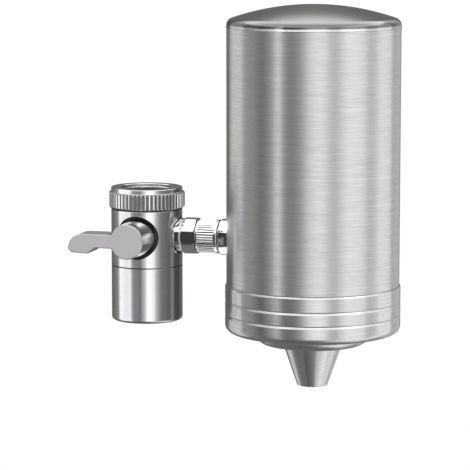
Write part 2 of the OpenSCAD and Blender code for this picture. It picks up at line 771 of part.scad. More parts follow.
module spout_cone() {
    color(steel) on_housing() rotate_extrude() polygon([
        [tip_bore_d / 2, cone_tip + 0.4], [tip_bore_d / 2 + 0.4, cone_tip], [tip_d / 2 - 0.2, cone_tip],
        [tip_d / 2, cone_tip + 0.3], [cone_d / 2, dish_bottom], [shank_d / 2, dish_bottom],
        [shank_d / 2, shank_top - 0.4], [shank_d / 2 - 0.4, shank_top], [socket_d / 2 + 0.4, shank_top],
        [socket_d / 2, shank_top - 0.4], [socket_d / 2, socket_bottom],
        [tip_bore_d / 2, socket_bottom - 1]]);
}

module cone_washer() {
    color(fibre) on_housing()
        ring(lock_nut_flats / 2, shank_d / 2 + seated, dish_floor, dish_floor + lock_washer_t);
}

module cone_lock_nut() {
    bottom = dish_floor + lock_washer_t;
    corner = lock_nut_flats / 2 / cos(30);
    color(steel) on_housing() difference() {
        intersection() {
            translate([0, 0, bottom]) cylinder(r = corner, h = lock_nut_h, $fn = 6);
            turned(corner - 0.1, bottom, bottom + lock_nut_h, 0.5, 0.5);
        }
        translate([0, 0, bottom - 1]) cylinder(r = shank_d / 2 + seated, h = lock_nut_h + 2);
    }
}

module cartridge_upper_cap() {
    color(plastic) on_housing() union() {
        rotate_extrude() polygon([[0, media_top], [skirt_in_r, media_top],
            [skirt_in_r, media_top - end_cap_skirt], [cartridge_r, media_top - end_cap_skirt],
            [cartridge_r, cartridge_top - 0.8],
            [cartridge_r - 0.8, cartridge_top], [0, cartridge_top]]);
        for (a = [0:60:300]) rotate(a) translate([rib_ring_r - 1, -0.8, cartridge_top - 0.2])
            cube([cartridge_r - rib_inset - rib_ring_r + 1, 1.6, rib_h]);
        ring(rib_ring_r, rib_ring_r - 1.5, cartridge_top - 0.2, cartridge_top + rib_h - 0.2);
    }
}

module cartridge_lower_cap() {
    groove_h = 2 * spigot_ring_r + 0.1;
    color(plastic) on_housing() difference() {
        rotate_extrude() polygon([[2.8, spigot_end], [spigot_r - 0.4, spigot_end],
            [spigot_r, spigot_end + 0.5], [spigot_r, cartridge_bottom], [cartridge_r - 1, cartridge_bottom],
            [cartridge_r, cartridge_bottom + 1], [cartridge_r, media_bottom + end_cap_skirt],
            [skirt_in_r, media_bottom + end_cap_skirt], [skirt_in_r, media_bottom], [2.8, media_bottom]]);
        for (z = spigot_ring_z) ring(2 * spigot_r, spigot_r - 0.75, z - groove_h / 2, z + groove_h / 2);
    }
}

spigot_ring_z = [cartridge_bottom - 2.7, cartridge_bottom - 6.2];

module spigot_oring_upper() {
    color(rubber) on_housing() oring(spigot_r - 0.7 + spigot_ring_r, spigot_ring_r, spigot_ring_z[0]);
}

module spigot_oring_lower() {
    color(rubber) on_housing() oring(spigot_r - 0.7 + spigot_ring_r, spigot_ring_r, spigot_ring_z[1]);
}

// Wave of the pleats, four points to a pleat
function pleat_loop(r) =
    [for (i = [0:4 * pleats - 1]) let (a = 90 * i / pleats)
        (r - pleat_depth / 2 + pleat_depth / 2 * cos(90 * i)) * [cos(a), sin(a)]];

module pleated_sleeve() {
    color(cloth) on_housing() translate([0, 0, media_bottom]) linear_extrude(media_top - media_bottom)
        difference() {
            polygon(pleat_loop(pleat_out_r));
            polygon(pleat_loop(pleat_out_r - pleat_t));
        }
}

module carbon_block() {
    color(carbon) on_housing() ring(carbon_r, core_d / 2 + seated, media_bottom, media_top);
}

// Core with rows of round holes, each row turned by half a step
module core_tube() {
    rows = 9;
    per_row = 6;
    step = (media_top - media_bottom) / rows;
    color(plastic) on_housing() difference() {
        ring(core_d / 2, core_d / 2 - core_t, media_bottom, media_top);
        for (k = [0:rows - 1], i = [0:per_row / 2 - 1])
            translate([0, 0, media_bottom + step * (k + 0.5)])
                rotate([90, 0, (i + 0.5 * (k % 2)) * 360 / per_row])
                    cylinder(r = 1.5, h = 2 * core_d, center = true, $fn = 24);
    }
}

collar_nut();
swivel_stem();
inlet_washer();
inlet_strainer();
valve_body();
upper_seat();
lower_seat();
side_seat();
seat_bush();
valve_ball();
spindle();
spindle_oring();
gland_nut();
lever_handle();
lever_grub_screw();
aerator_sleeve();
aerator_washer();
aerator_strainer();
aerator_insert();
side_nipple();
nipple_oring();
union_nut();
union_gasket();
union_tail();
inlet_boss();
housing_shell();
neck_ring();
base_seal();
base_cap();
spout_cone();
cone_washer();
cone_lock_nut();
cartridge_upper_cap();
cartridge_lower_cap();
pleated_sleeve();
carbon_block();
core_tube();
spigot_oring_upper();
spigot_oring_lower();
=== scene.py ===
"""Looks of a tap mounted water filter with a lever diverter valve.

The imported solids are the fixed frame. The pieces whose faces or edges need more
than the solids give are turned, cut and softened here, and each of them stands
for its own solid. Sizes in the fields are in millimetres, meshes are in metres.
"""

import logging
import math
from dataclasses import dataclass, field
from enum import Enum
from typing import Callable, Optional, Sequence, Union

import bmesh
import bpy
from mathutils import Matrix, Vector


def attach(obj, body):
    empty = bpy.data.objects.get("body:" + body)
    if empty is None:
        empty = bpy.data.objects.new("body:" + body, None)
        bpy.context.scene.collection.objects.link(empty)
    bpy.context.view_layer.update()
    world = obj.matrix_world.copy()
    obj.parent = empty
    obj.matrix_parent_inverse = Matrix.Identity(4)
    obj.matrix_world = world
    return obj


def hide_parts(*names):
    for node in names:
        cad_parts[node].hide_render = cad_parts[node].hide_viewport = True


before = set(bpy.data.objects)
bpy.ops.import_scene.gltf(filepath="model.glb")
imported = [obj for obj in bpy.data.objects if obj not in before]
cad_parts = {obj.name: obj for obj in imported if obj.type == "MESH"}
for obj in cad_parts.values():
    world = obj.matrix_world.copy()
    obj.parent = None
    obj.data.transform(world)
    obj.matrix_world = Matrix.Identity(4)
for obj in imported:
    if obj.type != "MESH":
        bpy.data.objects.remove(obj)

log = logging.getLogger("water_filter")

MM = 0.001
PORT_Z = -18.8
HOUSING_X = 67.6

Colour = tuple[float, float, float]
Point = tuple[float, float]


@dataclass(frozen=True)
class TurningLine:
    """A line that pieces are turned round.

    Args:
        along: Direction of the line.
        across: A direction square to it, where outlines are drawn.
        centre: A point on the line, in millimetres.
    """

    along: Colour
    across: Colour
    centre: Colour

    def place(self, out: float, up: float) -> Vector:
        """Give the point of an outline in metres.

        Args:
            out: Distance from the line in millimetres.
            up: Distance along the line in millimetres.

        Returns:
            The point in the object's frame.
        """
        spot = Vector(self.centre) + Vector(self.along) * up + Vector(self.across) * out
        return spot * MM

    def measure(self, spot: Vector) -> tuple[float, float, float]:
        """Give a point's radius, height and angle round the line.

        Args:
            spot: A point in metres.

        Returns:
            Radius and height in millimetres, and the angle in radians.
        """
        side = Vector(self.along).cross(Vector(self.across))
        away = spot / MM - Vector(self.centre)
        x, y = away.dot(Vector(self.across)), away.dot(side)
        return math.hypot(x, y), away.dot(Vector(self.along)), math.atan2(y, x)


class Axis(Enum):
    """The lines that this filter's pieces are turned round."""

    VALVE = TurningLine((0, 0, 1), (1, 0, 0), (0, 0, 0))
    HOUSING = TurningLine((0, 0, 1), (1, 0, 0), (HOUSING_X, 0, 0))
    PORT = TurningLine((1, 0, 0), (0, 1, 0), (0, 0, PORT_Z))
    SPINDLE = TurningLine((0, -1, 0), (1, 0, 0), (0, 0, PORT_Z))


class Cut(Enum):
    """What a tool body does to a piece."""

    REMOVE = "DIFFERENCE"
    ADD = "UNION"


@dataclass(frozen=True)
class Corner:
    """A corner of a half outline, with its rounding, in millimetres."""

    out: float
    up: float
    soft: float = 0.0


def rounded(corners: Sequence[Corner], facets: int = 5) -> list[Point]:
    """Round the corners of a closed outline.

    Args:
        corners: The corners in order round the outline.
        facets: How many steps each rounding takes.

    Returns:
        The points of the outline in order.
    """
    points: list[Point] = []
    for i, corner in enumerate(corners):
        here = Vector((corner.out, corner.up))
        if corner.soft <= 0:
            points.append((corner.out, corner.up))
            continue
        last, following = corners[i - 1], corners[(i + 1) % len(corners)]
        before = (Vector((last.out, last.up)) - here).normalized()
        after = (Vector((following.out, following.up)) - here).normalized()
        half = before.angle(after) / 2
        reach = corner.soft / math.tan(half)
        centre = here + (before + after).normalized() * (corner.soft / math.sin(half))
        start, end = here + before * reach - centre, here + after * reach - centre
        first = math.atan2(start.y, start.x)
        turn = (math.atan2(end.y, end.x) - first + math.pi) % (2 * math.pi) - math.pi
        for k in range(facets + 1):
            angle = first + turn * k / facets
            points.append((centre.x + corner.soft * math.cos(angle), centre.y + corner.soft * math.sin(angle)))
    return points


def arc(centre: Point, radius: float, start: float, end: float, facets: int) -> list[Point]:
    """Give points on an arc.

    Args:
        centre: Centre of the arc.
        radius: Its radius.
        start: First angle in degrees.
        end: Last angle in degrees.
        facets: Number of steps.

    Returns:
        The points from start to end.
    """
    angles = [math.radians(start + (end - start) * k / facets) for k in range(facets + 1)]
    return [(centre[0] + radius * math.cos(a), centre[1] + radius * math.sin(a)) for a in angles]


class Bench:
    """Modelling by hand tools, each on one piece with its parts selected in code."""

    def clear(self) -> None:
        """Leave edit mode and select nothing."""
        if bpy.context.object is not None and bpy.context.object.mode != "OBJECT":
            bpy.ops.object.mode_set(mode="OBJECT")
        bpy.ops.object.select_all(action="DESELECT")

    def hold(self, piece: bpy.types.Object) -> None:
        """Select one piece and make it active.

        Args:
            piece: The piece to work on.
        """
        self.clear()
        piece.select_set(True)
        bpy.context.view_layer.objects.active = piece

    def pick(self, piece: bpy.types.Object, test: Callable[[Vector], bool]) -> int:
        """Select the points of a piece in edit mode that pass a test.

        Args:
            piece: The piece, in edit mode.
            test: Says for a point in metres whether it is picked.

        Returns:
            How many points are picked.
        """
        bpy.context.tool_settings.mesh_select_mode = (True, False, False)
        shape = bmesh.from_edit_mesh(piece.data)
        count = 0
        for vert in shape.verts:
            chosen = test(vert.co)
            vert.select_set(chosen)
            count += chosen
        shape.select_flush_mode()
        bmesh.update_edit_mesh(piece.data)
        return count

    def wire(self, name: str, points: Sequence[Vector], closed: bool) -> bpy.types.Object:
        """Draw a line through points, from a plane merged to its first point.

        Args:
            name: Name of the piece.
            points: The points in metres.
            closed: Whether the line ends where it starts.

        Returns:
            The piece, left in edit mode with all of it selected.
        """
        self.clear()
        bpy.ops.mesh.primitive_plane_add(size=MM, location=points[0])
        piece = bpy.context.object
        piece.name = name
        bpy.ops.object.mode_set(mode="EDIT")
        bpy.ops.mesh.select_all(action="SELECT")
        bpy.ops.mesh.merge(type="CENTER")
        route = list(points) + ([points[0]] if closed else [])
        for here, there in zip(route, route[1:]):
            bpy.ops.mesh.extrude_vertices_move(TRANSFORM_OT_translate={"value": there - here})
        bpy.ops.mesh.select_all(action="SELECT")
        if closed:
            bpy.ops.mesh.remove_doubles(threshold=1e-7)
        return piece

    def settle(self, piece: bpy.types.Object) -> None:
        """Merge doubles, turn the faces outwards and put the place in the mesh.

        Args:
            piece: The piece to settle.
        """
        self.hold(piece)
        bpy.ops.object.mode_set(mode="EDIT")
        bpy.ops.mesh.select_all(action="SELECT")
        bpy.ops.mesh.remove_doubles(threshold=2e-6)
        bpy.ops.mesh.select_all(action="SELECT")
        bpy.ops.mesh.normals_make_consistent(inside=False)
        bpy.ops.object.mode_set(mode="OBJECT")
        bpy.ops.object.transform_apply(location=True, rotation=True, scale=True)

    def turn(self, name: str, axis: Axis, points: Sequence[Point], steps: int = 160) -> bpy.types.Object:
        """Turn a half outline round an axis.

        Args:
            name: Name of the piece.
            axis: The axis it is turned round.
            points: The outline, closed unless both its ends lie on the axis.
            steps: Number of steps round the axis.

        Returns:
            The turned piece.
        """
        line = axis.value
        closed = not (points[0][0] == 0 and points[-1][0] == 0)
        piece = self.wire(name, [line.place(*p) for p in points], closed)
        bpy.ops.mesh.spin(steps=steps, angle=2 * math.pi, use_auto_merge=True,
                          center=line.place(0, 0), axis=line.along)
        self.settle(piece)
        return piece

    def slab(self, name: str, points: Sequence[Vector], push: Vector) -> bpy.types.Object:
        """Fill an outline and push it to a solid.

        Args:
            name: Name of the piece.
            points: The outline in metres.
            push: How far and which way it is pushed.

        Returns:
            The solid.
        """
        piece = self.wire(name, points, True)
        bpy.ops.mesh.edge_face_add()
        bpy.ops.mesh.extrude_region_move(TRANSFORM_OT_translate={"value": push})
        self.settle(piece)
        return piece

    def modify(self, piece: bpy.types.Object, kind: str, **settings: object) -> None:
        """Add a modifier and apply it.

        Args:
            piece: The piece.
            kind: The modifier's type.
            **settings: Its settings.
        """
        self.hold(piece)
        modifier = piece.modifiers.new(kind.lower(), kind)
        for key, value in settings.items():
            setattr(modifier, key, value)
        bpy.ops.object.modifier_apply(modifier=modifier.name)

    def work(self, piece: bpy.types.Object, tool: bpy.types.Object, cut: Cut = Cut.REMOVE) -> None:
        """Cut a tool body out of a piece, or add it to the piece.

        Args:
            piece: The piece.
            tool: The tool body, which is used up.
            cut: What is done with it.
        """
        self.modify(piece, "BOOLEAN", object=tool, operation=cut.value, solver="EXACT")
        bpy.data.objects.remove(tool)
        self.settle(piece)

    def flats(self, piece: bpy.types.Object, axis: Axis, count: int, reach: float) -> None:
        """Cut flats round a turned piece.

        Args:
            piece: The piece.
            axis: Its axis.
            count: Number of flats.
            reach: Distance of a flat from the axis in millimetres.
        """
        line = axis.value
        side = Vector(line.along).cross(Vector(line.across))
        self.hold(piece)
        bpy.ops.object.mode_set(mode="EDIT")
        for k in range(count):
            angle = 2 * math.pi * k / count
            way = Vector(line.across) * math.cos(angle) + side * math.sin(angle)
            bpy.ops.mesh.select_all(action="SELECT")
            bpy.ops.mesh.bisect(plane_co=line.place(0, 0) + way * reach * MM, plane_no=way,
                                use_fill=True, clear_outer=True)
        self.settle(piece)

    def flute(self, piece: bpy.types.Object, axis: Axis, span: Point, radius: float,
              count: int, columns: int, cutter: float) -> None:
        """Press round flutes into a turned piece, column by column.

        Args:
            piece: The piece, turned with count times columns steps.
            axis: Its axis.
            span: Lowest and highest place of the flutes in millimetres.
            radius: Radius over the ribs in millimetres.
            count: Number of flutes.
            columns: Steps to a flute.
            cutter: Radius of a flute in millimetres.
        """
        line = axis.value
        centre = radius + 0.25 * cutter
        self.hold(piece)
        bpy.ops.object.mode_set(mode="EDIT")
        shape = bmesh.from_edit_mesh(piece.data)
        rings = sorted({round(line.measure(v.co)[0], 3) for v in shape.verts})
        for k in range(columns // 2 + 1):
            away = centre * math.sin(2 * math.pi * k / count / columns)
            if away >= cutter:
                continue
            floor = centre * math.cos(2 * math.pi * k / count / columns) - math.sqrt(cutter ** 2 - away ** 2)
            for ring in [r for r in rings if r > floor + 0.002]:
                def hit(spot: Vector, k: int = k, ring: float = ring) -> bool:
                    """Say whether a point is on this column and this ring."""
                    out, up, angle = line.measure(spot)
                    column = round(angle / (2 * math.pi) * count * columns) % columns
                    return span[0] <= up <= span[1] and abs(out - ring) < 0.0015 and column in (k, (columns - k) % columns)
                if self.pick(piece, hit):
                    scale = floor / ring
                    value = [1 if abs(way) > 0.5 else scale for way in line.along]
                    bpy.ops.transform.resize(value=value, center_override=line.place(0, 0))
        self.settle(piece)

    def soften(self, piece: bpy.types.Object, width: float = 0.0, angle: float = 30, segments: int = 3) -> None:
        """Round the sharp edges and smooth the rest.

        Args:
            piece: The piece.
            width: Width of the rounding in millimetres, or 0 for none.
            angle: Edges sharper than this many degrees are rounded and kept crisp.
            segments: Steps of the rounding.
        """
        if width > 0:
            self.modify(piece, "BEVEL", width=width * MM, segments=segments, limit_method="ANGLE",
                        angle_limit=math.radians(angle), miter_outer="MITER_ARC", use_clamp_overlap=True)
        self.hold(piece)
        bpy.ops.object.shade_smooth_by_angle(angle=math.radians(angle))
        self.modify(piece, "WEIGHTED_NORMAL", keep_sharp=True, weight=60)


Number = Union["Socket", float]


class Socket:
    """A socket of a shader that takes Python arithmetic."""

    def __init__(self, graph: "Graph", link: bpy.types.NodeSocket) -> None:
        """Keep the graph and the link."""
        self.graph = graph
        self.link = link

    def calc(self, operation: str, *others: Number) -> "Socket":
        """Add one Math node that starts from this socket.

        Args:
            operation: The node's operation.
            *others: The other values.

        Returns:
            The result.
        """
        return self.graph.add("ShaderNodeMath", {"operation": operation}, dict(enumerate((self, *others))))

    def __add__(self, other: Number) -> "Socket":
        """Add."""
        return self.calc("ADD", other)

    __radd__ = __add__

    def __mul__(self, other: Number) -> "Socket":
        """Multiply."""
        return self.calc("MULTIPLY", other)

    __rmul__ = __mul__

    def __sub__(self, other: Number) -> "Socket":
        """Subtract a value from this."""
        return self.calc("SUBTRACT", other)

    def __rsub__(self, other: float) -> "Socket":
        """Subtract this from a number."""
        return self.graph.add("ShaderNodeMath", {"operation": "SUBTRACT"}, {0: other, 1: self})

    def __truediv__(self, other: Number) -> "Socket":
        """Divide this by a value."""
        return self.calc("DIVIDE", other)

    def __rtruediv__(self, other: float) -> "Socket":
        """Divide a number by this."""
        return self.graph.add("ShaderNodeMath", {"operation": "DIVIDE"}, {0: other, 1: self})

    def __pow__(self, other: Number) -> "Socket":
        """Raise to a power."""
        return self.calc("POWER", other)

    def step(self, low: float, high: float) -> "Socket":
        """Rise smoothly from 0 to 1.

        Args:
            low: Where the rise starts.
            high: Where it ends.

        Returns:
            The risen value.
        """
        return self.graph.add("ShaderNodeMapRange", {"interpolation_type": "SMOOTHSTEP"},
                              {"Value": self, "From Min": low, "From Max": high})


class Graph:
    """The nodes of one material or world."""

    def __init__(self, tree: bpy.types.NodeTree) -> None:
        """Start with an empty tree."""
        self.tree = tree
        tree.nodes.clear()

    def add(self, kind: str, settings: Optional[dict] = None, values: Optional[dict] = None,
            out: Union[int, str] = 0) -> Socket:
        """Add one node: its settings first, then its sockets.

        Args:
            kind: The node's type.
            settings: Its settings; stops is the list of a ramp's places and levels.
            values: Numbers, tuples or links by socket name or number.
            out: The output that is returned.

        Returns:
            The chosen output.
        """
        node = self.tree.nodes.new(kind)
        for key, value in (settings or {}).items():
            if key == "stops":
                elements = node.color_ramp.elements
                while len(elements) < len(value):
                    elements.new(0.5)
                for element, (place, level) in zip(elements, value):
                    element.position = place
                    element.color = (level, level, level, 1)
            else:
                setattr(node, key, value)
        for key, value in (values or {}).items():
            if isinstance(value, Socket):
                self.tree.links.new(value.link, node.inputs[key])
            else:
                node.inputs[key].default_value = value
        return Socket(self, node.outputs[out] if node.outputs else None)

    def place(self) -> Socket:
        """Give the point on the object."""
        return self.add("ShaderNodeTexCoord", out="Object")

    def parts(self, vector: Socket) -> tuple[Socket, Socket, Socket]:
        """Split a vector.

        Args:
            vector: The vector.

        Returns:
            Its three parts.
        """
        first = self.add("ShaderNodeSeparateXYZ", None, {0: vector})
        return tuple(Socket(self, output) for output in first.link.node.outputs)

    def join(self, x: Number, y: Number, z: Number) -> Socket:
        """Join three values to a vector."""
        return self.add("ShaderNodeCombineXYZ", None, {0: x, 1: y, 2: z})

    def noise(self, vector: Socket, scale: float = 1.0, detail: float = 2.0, rough: float = 0.5) -> Socket:
        """Give soft noise.

        Args:
            vector: Where it is read.
            scale: How fine it is, in cycles a metre on plain coordinates.
            detail: Number of finer layers.
            rough: Strength of the finer layers.

        Returns:
            Values round a half.
        """
        return self.add("ShaderNodeTexNoise", None,
                        {"Vector": vector, "Scale": scale, "Detail": detail, "Roughness": rough})

    def reach(self, axis: Axis) -> tuple[Socket, Socket, Socket, Socket]:
        """Give a point's place round an axis.

        Args:
            axis: The axis.

        Returns:
            Two offsets square to the axis, the place along it and the radius, in metres.
        """
        line = axis.value
        shifted = self.add("ShaderNodeVectorMath", {"operation": "SUBTRACT"},
                           {0: self.place(), 1: tuple(c * MM for c in line.centre)})
        x, y, z = self.parts(shifted)
        up = {0: x, 1: y, 2: z}[max(range(3), key=lambda i: abs(line.along[i]))]
        u, v = [s for s in (x, y, z) if s is not up]
        return u, v, up, (u * u + v * v + 1e-9) ** 0.5

    def around(self, axis: Axis, turns: float, lines: float) -> Socket:
        """Give coordinates that run with the marks of a lathe.

        Args:
            axis: The lathe's axis.
            turns: How fast they change round the axis.
            lines: How fast they change along and outwards, per metre.

        Returns:
            A vector for a noise.
        """
        u, v, up, out = self.reach(axis)
        return self.join(u / out * turns, v / out * turns, (up + out) * lines)

    def tint(self, colour: Colour, level: Number) -> Socket:
        """Scale a colour by a value.

        Args:
            colour: The colour.
            level: The value.

        Returns:
            The scaled colour.
        """
        return self.add("ShaderNodeVectorMath", {"operation": "SCALE"}, {0: colour, "Scale": level})

    def blend(self, share: Number, low: Union[Colour, Socket], high: Union[Colour, Socket]) -> Socket:
        """Mix two colours.

        Args:
            share: Share of the second colour.
            low: The first colour.
            high: The second colour.

        Returns:
            The mixed colour.
        """
        low, high = [c if isinstance(c, Socket) else (*c, 1) for c in (low, high)]
        return self.add("ShaderNodeMix", {"data_type": "RGBA"}, {0: share, 6: low, 7: high}, 2)

    def bump(self, height: Socket, depth: float, normal: Optional[Socket] = None) -> Socket:
        """Give a normal bent by a height.

        Args:
            height: Height from 0 to 1.
            depth: Depth of the relief in millimetres.
            normal: A normal to start from.

        Returns:
            The bent normal.
        """
        values = {"Height": height, "Distance": depth * MM, "Strength": 1.0}
        return self.add("ShaderNodeBump", None, values | ({"Normal": normal} if normal else {}))

    def surface(self, **values: object) -> None:
        """End with the shader.

        Args:
            **values: Its sockets, with underscores for spaces.
        """
        sockets = {key.replace("_", " "): value for key, value in values.items()}
        shader = self.add("ShaderNodeBsdfPrincipled", None, sockets)
        self.add("ShaderNodeOutputMaterial", None, {"Surface": shader})


@dataclass(frozen=True)
class Finish:
    """A surface finish. Its colour is the colour of its highlights on metal."""

    slot: str
    colour: Colour
    roughness: float

    def paint(self, graph: Graph) -> None:
        """Draw the finish in a graph."""
        raise NotImplementedError


@dataclass(frozen=True)
class BrushedMetal(Finish):
    """Metal with brush marks round an axis, fainter above a height, with a ring of painted shade just above that
    height.
    """

    axis: Axis = Axis.HOUSING
    streaks: float = 0.5
    grain: float = 0.3
    relief: float = 0.002
    anisotropy: float = 0.7
    calm_from: float = 1000.0
    calm_gloss: float = 0.0
    shade: float = 0.0

    def paint(self, graph: Graph) -> None:
        """Draw streaks and grain, and let them move tone and gloss; paint shade on a ring just above the height where
        they fade.
        """
        height = graph.parts(graph.place())[2]
        # Painted shade: the tone is darkened by the share shade on a ring from about 0.3 mm below calm_from to 2.2 mm
        # above it.
        calm = height.step((self.calm_from - 1.6) * MM, (self.calm_from - 1.0) * MM)
        painted_shade_band = calm * (1 - height.step((self.calm_from + 0.9) * MM, (self.calm_from + 2.2) * MM))
        painted_shade_band = painted_shade_band * height.step((self.calm_from - 0.3) * MM, (self.calm_from + 0.1) * MM) * self.shade
        long = graph.noise(graph.around(self.axis, 2.4, 2600), 1, 2) - 0.5
        fine = graph.noise(graph.around(self.axis, 9, 5600), 1, 1) - 0.5
        marks = (long * self.streaks + fine * self.grain) * (1 - calm * 0.65)
        graph.surface(
            Base_Color=graph.tint(self.colour, (marks + 1) * (1 - painted_shade_band)),
            Metallic=1.0,
            Roughness=marks * -0.25 + self.roughness - calm * self.calm_gloss,
            Normal=graph.bump(marks, self.relief),
            Anisotropic=self.anisotropy,
            Anisotropic_Rotation=0.25,
        )


@dataclass(frozen=True)
class PolishedMetal(Finish):
    """Plated or polished metal: faint polishing lines, a light haze, and painted shade in its recesses."""

    axis: Axis = Axis.VALVE
    haze: float = 0.03
    shade_within: float = 0.0
    shade_below: float = 100.0
    recess_shade: float = 0.8

    def paint(self, graph: Graph) -> None:
        """Draw haze and faint lines in gloss and tone, and paint shade on what lies within a radius and below a height,
        which is also made rougher.
        """
        cloud = graph.noise(graph.place(), 190, 3) - 0.5
        lines = graph.noise(graph.around(self.axis, 5, 4200), 1, 2) - 0.5
        up, out = graph.reach(self.axis)[2:]
        # Painted shade: what lies inside a radius of the axis and below a height is darkened, as shade falls in
        # recesses and gaps.
        level, depth = out.step((self.shade_within - 0.2) * MM, (self.shade_within + 0.05) * MM), self.shade_below * MM
        recess = (1 - level) * (1 - up.step(depth - 0.1 * MM, depth + 0.1 * MM))
        graph.surface(
            Base_Color=graph.tint(self.colour, (lines * 0.1 + cloud * 0.06 + 1) * (1 - recess * self.recess_shade)),
            Metallic=1.0,
            Roughness=cloud * self.haze + lines * self.haze + recess * 0.25 + self.roughness,
        )


@dataclass(frozen=True)
class SatinCasting(Finish):
    """Satin plated casting: a fine blasted grain and soft waves, and a hub that is polished round its side."""

    grain: float = 0.0025
    hub: float = 0.0
    front: float = 0.0

    def paint(self, graph: Graph) -> None:
        """Draw the grain as relief and the waves as tone, and let the hub's side shine."""
        wave = graph.noise(graph.place(), 160, 2) - 0.5
        dust = graph.noise(graph.place(), 5200, 2)
        across, out = graph.reach(Axis.SPINDLE)[2:]
        side = (1 - out.step((self.hub + 0.3) * MM, (self.hub + 0.7) * MM))
        side = side * across.step((0.35 - self.front) * MM, (0.6 - self.front) * MM)
        graph.surface(
            Base_Color=graph.tint(self.colour, wave * 0.1 + dust * 0.05 + 0.975),
            Metallic=1.0,
            Roughness=(dust * 0.1 + wave * 0.08 + self.roughness) * (1 - side * 0.66),
            Normal=graph.bump(dust * (1 - side), self.grain),
        )


@dataclass(frozen=True)
class DullRubber(Finish):
    """Matt rubber with a fine skin."""

    def paint(self, graph: Graph) -> None:
        """Draw the skin and a few pale rubs."""
        skin = graph.noise(graph.place(), 3600, 3)
        rub = graph.noise(graph.place(), 240, 3).step(0.55, 0.75)
        graph.surface(
            Base_Color=graph.blend(rub * 0.4, self.colour, tuple(c + 0.05 for c in self.colour)),
            Roughness=skin * 0.2 + self.roughness,
            Normal=graph.bump(skin, 0.01),
        )


@dataclass(frozen=True)
class MouldedPlastic(Finish):
    """Moulded plastic with flow marks and a light texture."""

    texture: float = 0.004

    def paint(self, graph: Graph) -> None:
        """Draw flow marks in tone and the texture as relief."""
        flow = graph.noise(graph.place(), 90, 3) - 0.5
        skin = graph.noise(graph.place(), 2600, 2)
        graph.surface(
            Base_Color=graph.tint(self.colour, flow * 0.1 + 1),
            Roughness=skin * 0.15 + self.roughness,
            Normal=graph.bump(skin, self.texture),
        )


@dataclass(frozen=True)
class FibrousSheet(Finish):
    """Pressed fibres, as in filter cloth and fibre washers."""

    second: Colour = (0.8, 0.8, 0.78)
    length: float = 900

    def paint(self, graph: Graph) -> None:
        """Draw crossing fibres in tone and relief."""
        x, y, z = graph.parts(graph.place())
        lying = graph.noise(graph.join(x, y * 1.0, z * 6), self.length, 3, 0.6)
        standing = graph.noise(graph.join(x * 6, y * 6, z), self.length * 0.4, 3, 0.6)
        fibres = (lying + standing) * 0.5
        graph.surface(
            Base_Color=graph.blend(fibres.step(0.35, 0.65), self.second, self.colour),
            Roughness=self.roughness,
            Normal=graph.bump(fibres, 0.05),
        )


@dataclass(frozen=True)
class PressedCarbon(Finish):
    """Pressed carbon grains."""

    def paint(self, graph: Graph) -> None:
        """Draw grains of mixed tone and their relief."""
        cell = graph.add("ShaderNodeTexVoronoi", None, {"Vector": graph.place(), "Scale": 1500.0})
        grain = graph.noise(graph.place(), 2400, 3)
        graph.surface(
            Base_Color=graph.tint(self.colour, grain * 1.2 + 0.4),
            Roughness=grain * 0.3 + self.roughness,
            Normal=graph.bump(cell, 0.08),
        )


class Finishes(Enum):
    """The finishes of this filter, each with its slot's name."""

    # The housing's dome gets a ring of painted shade just above the bead, 66 % darker.
    HOUSING_STEEL = BrushedMetal("housing_steel", (0.80, 0.80, 0.79), 0.33, streaks=0.42, grain=0.3, anisotropy=0.75,
                                 calm_from=64.6, calm_gloss=0.15, shade=0.66)
    BASE_STEEL = BrushedMetal("base_steel", (0.82, 0.82, 0.81), 0.25, streaks=0.28, grain=0.14, relief=0.0006,
                              anisotropy=0.6)
    # Painted shade: on the valve body and sleeve, whatever lies inside 13.7 mm of the valve's axis is darkened, such as
    # the gap above the sleeve and the lever's recess.
    POLISHED_NICKEL = PolishedMetal("polished_nickel", (0.86, 0.855, 0.885), 0.18, shade_within=13.7, recess_shade=0.85)
    # The fluted nut's nickel is paler than the same nickel on the valve, as a painted highlight, and its flute floors,
    # inside 14.8 mm and below the shoulder, are darkened as painted shade.
    FLUTED_NICKEL_PAINTED_LIGHT = PolishedMetal("polished_nickel", (0.95, 0.945, 0.97), 0.2, shade_within=14.8, shade_below=-1.8,
                                  recess_shade=0.72)
    BRIGHT_CHROME = PolishedMetal("bright_chrome", (0.92, 0.92, 0.94), 0.05, axis=Axis.PORT, haze=0.015)
    LEVER_SATIN = SatinCasting("lever_satin", (0.80, 0.78, 0.80), 0.36, hub=7.5, front=25.8)
    STEEL_MESH = PolishedMetal("steel_mesh", (0.72, 0.72, 0.72), 0.3)
    BALL_CHROME = PolishedMetal("ball_chrome", (0.88, 0.88, 0.9), 0.06, haze=0.02)
    TURNED_BRASS = BrushedMetal("turned_brass", (0.80, 0.62, 0.32), 0.28, axis=Axis.VALVE, streaks=0.2,
                                relief=0.003, anisotropy=0.4)
    BLACK_GLAND = SatinCasting("black_gland", (0.14, 0.14, 0.15), 0.3)
    BLACK_RUBBER = DullRubber("black_rubber", (0.035, 0.035, 0.035), 0.5)
    WHITE_SEAT = MouldedPlastic("white_seat", (0.86, 0.86, 0.84), 0.35)
    WHITE_PLASTIC = MouldedPlastic("white_plastic", (0.84, 0.85, 0.86), 0.3)
    FILTER_CLOTH = FibrousSheet("filter_cloth", (0.88, 0.87, 0.83), 0.9)
    CARBON = PressedCarbon("carbon", (0.05, 0.05, 0.055), 0.6)
    RED_FIBRE = FibrousSheet("red_fibre", (0.42, 0.13, 0.08), 0.8, second=(0.3, 0.08, 0.05), length=700)


class PaintShop:
    """Makes each finish's material once."""

    def __init__(self) -> None:
        """Start with no material."""
        self.made: dict[str, bpy.types.Material] = {}

    def material(self, finish: Finishes) -> bpy.types.Material:
        """Give a finish's material.

        Args:
            finish: The finish.

        Returns:
            Its material.
        """
        name = finish.name.lower()
        if name not in self.made:
            material = bpy.data.materials.new(name)
            material.use_nodes = True
            finish.value.paint(Graph(material.node_tree))
            self.made[name] = material
        return self.made[name]


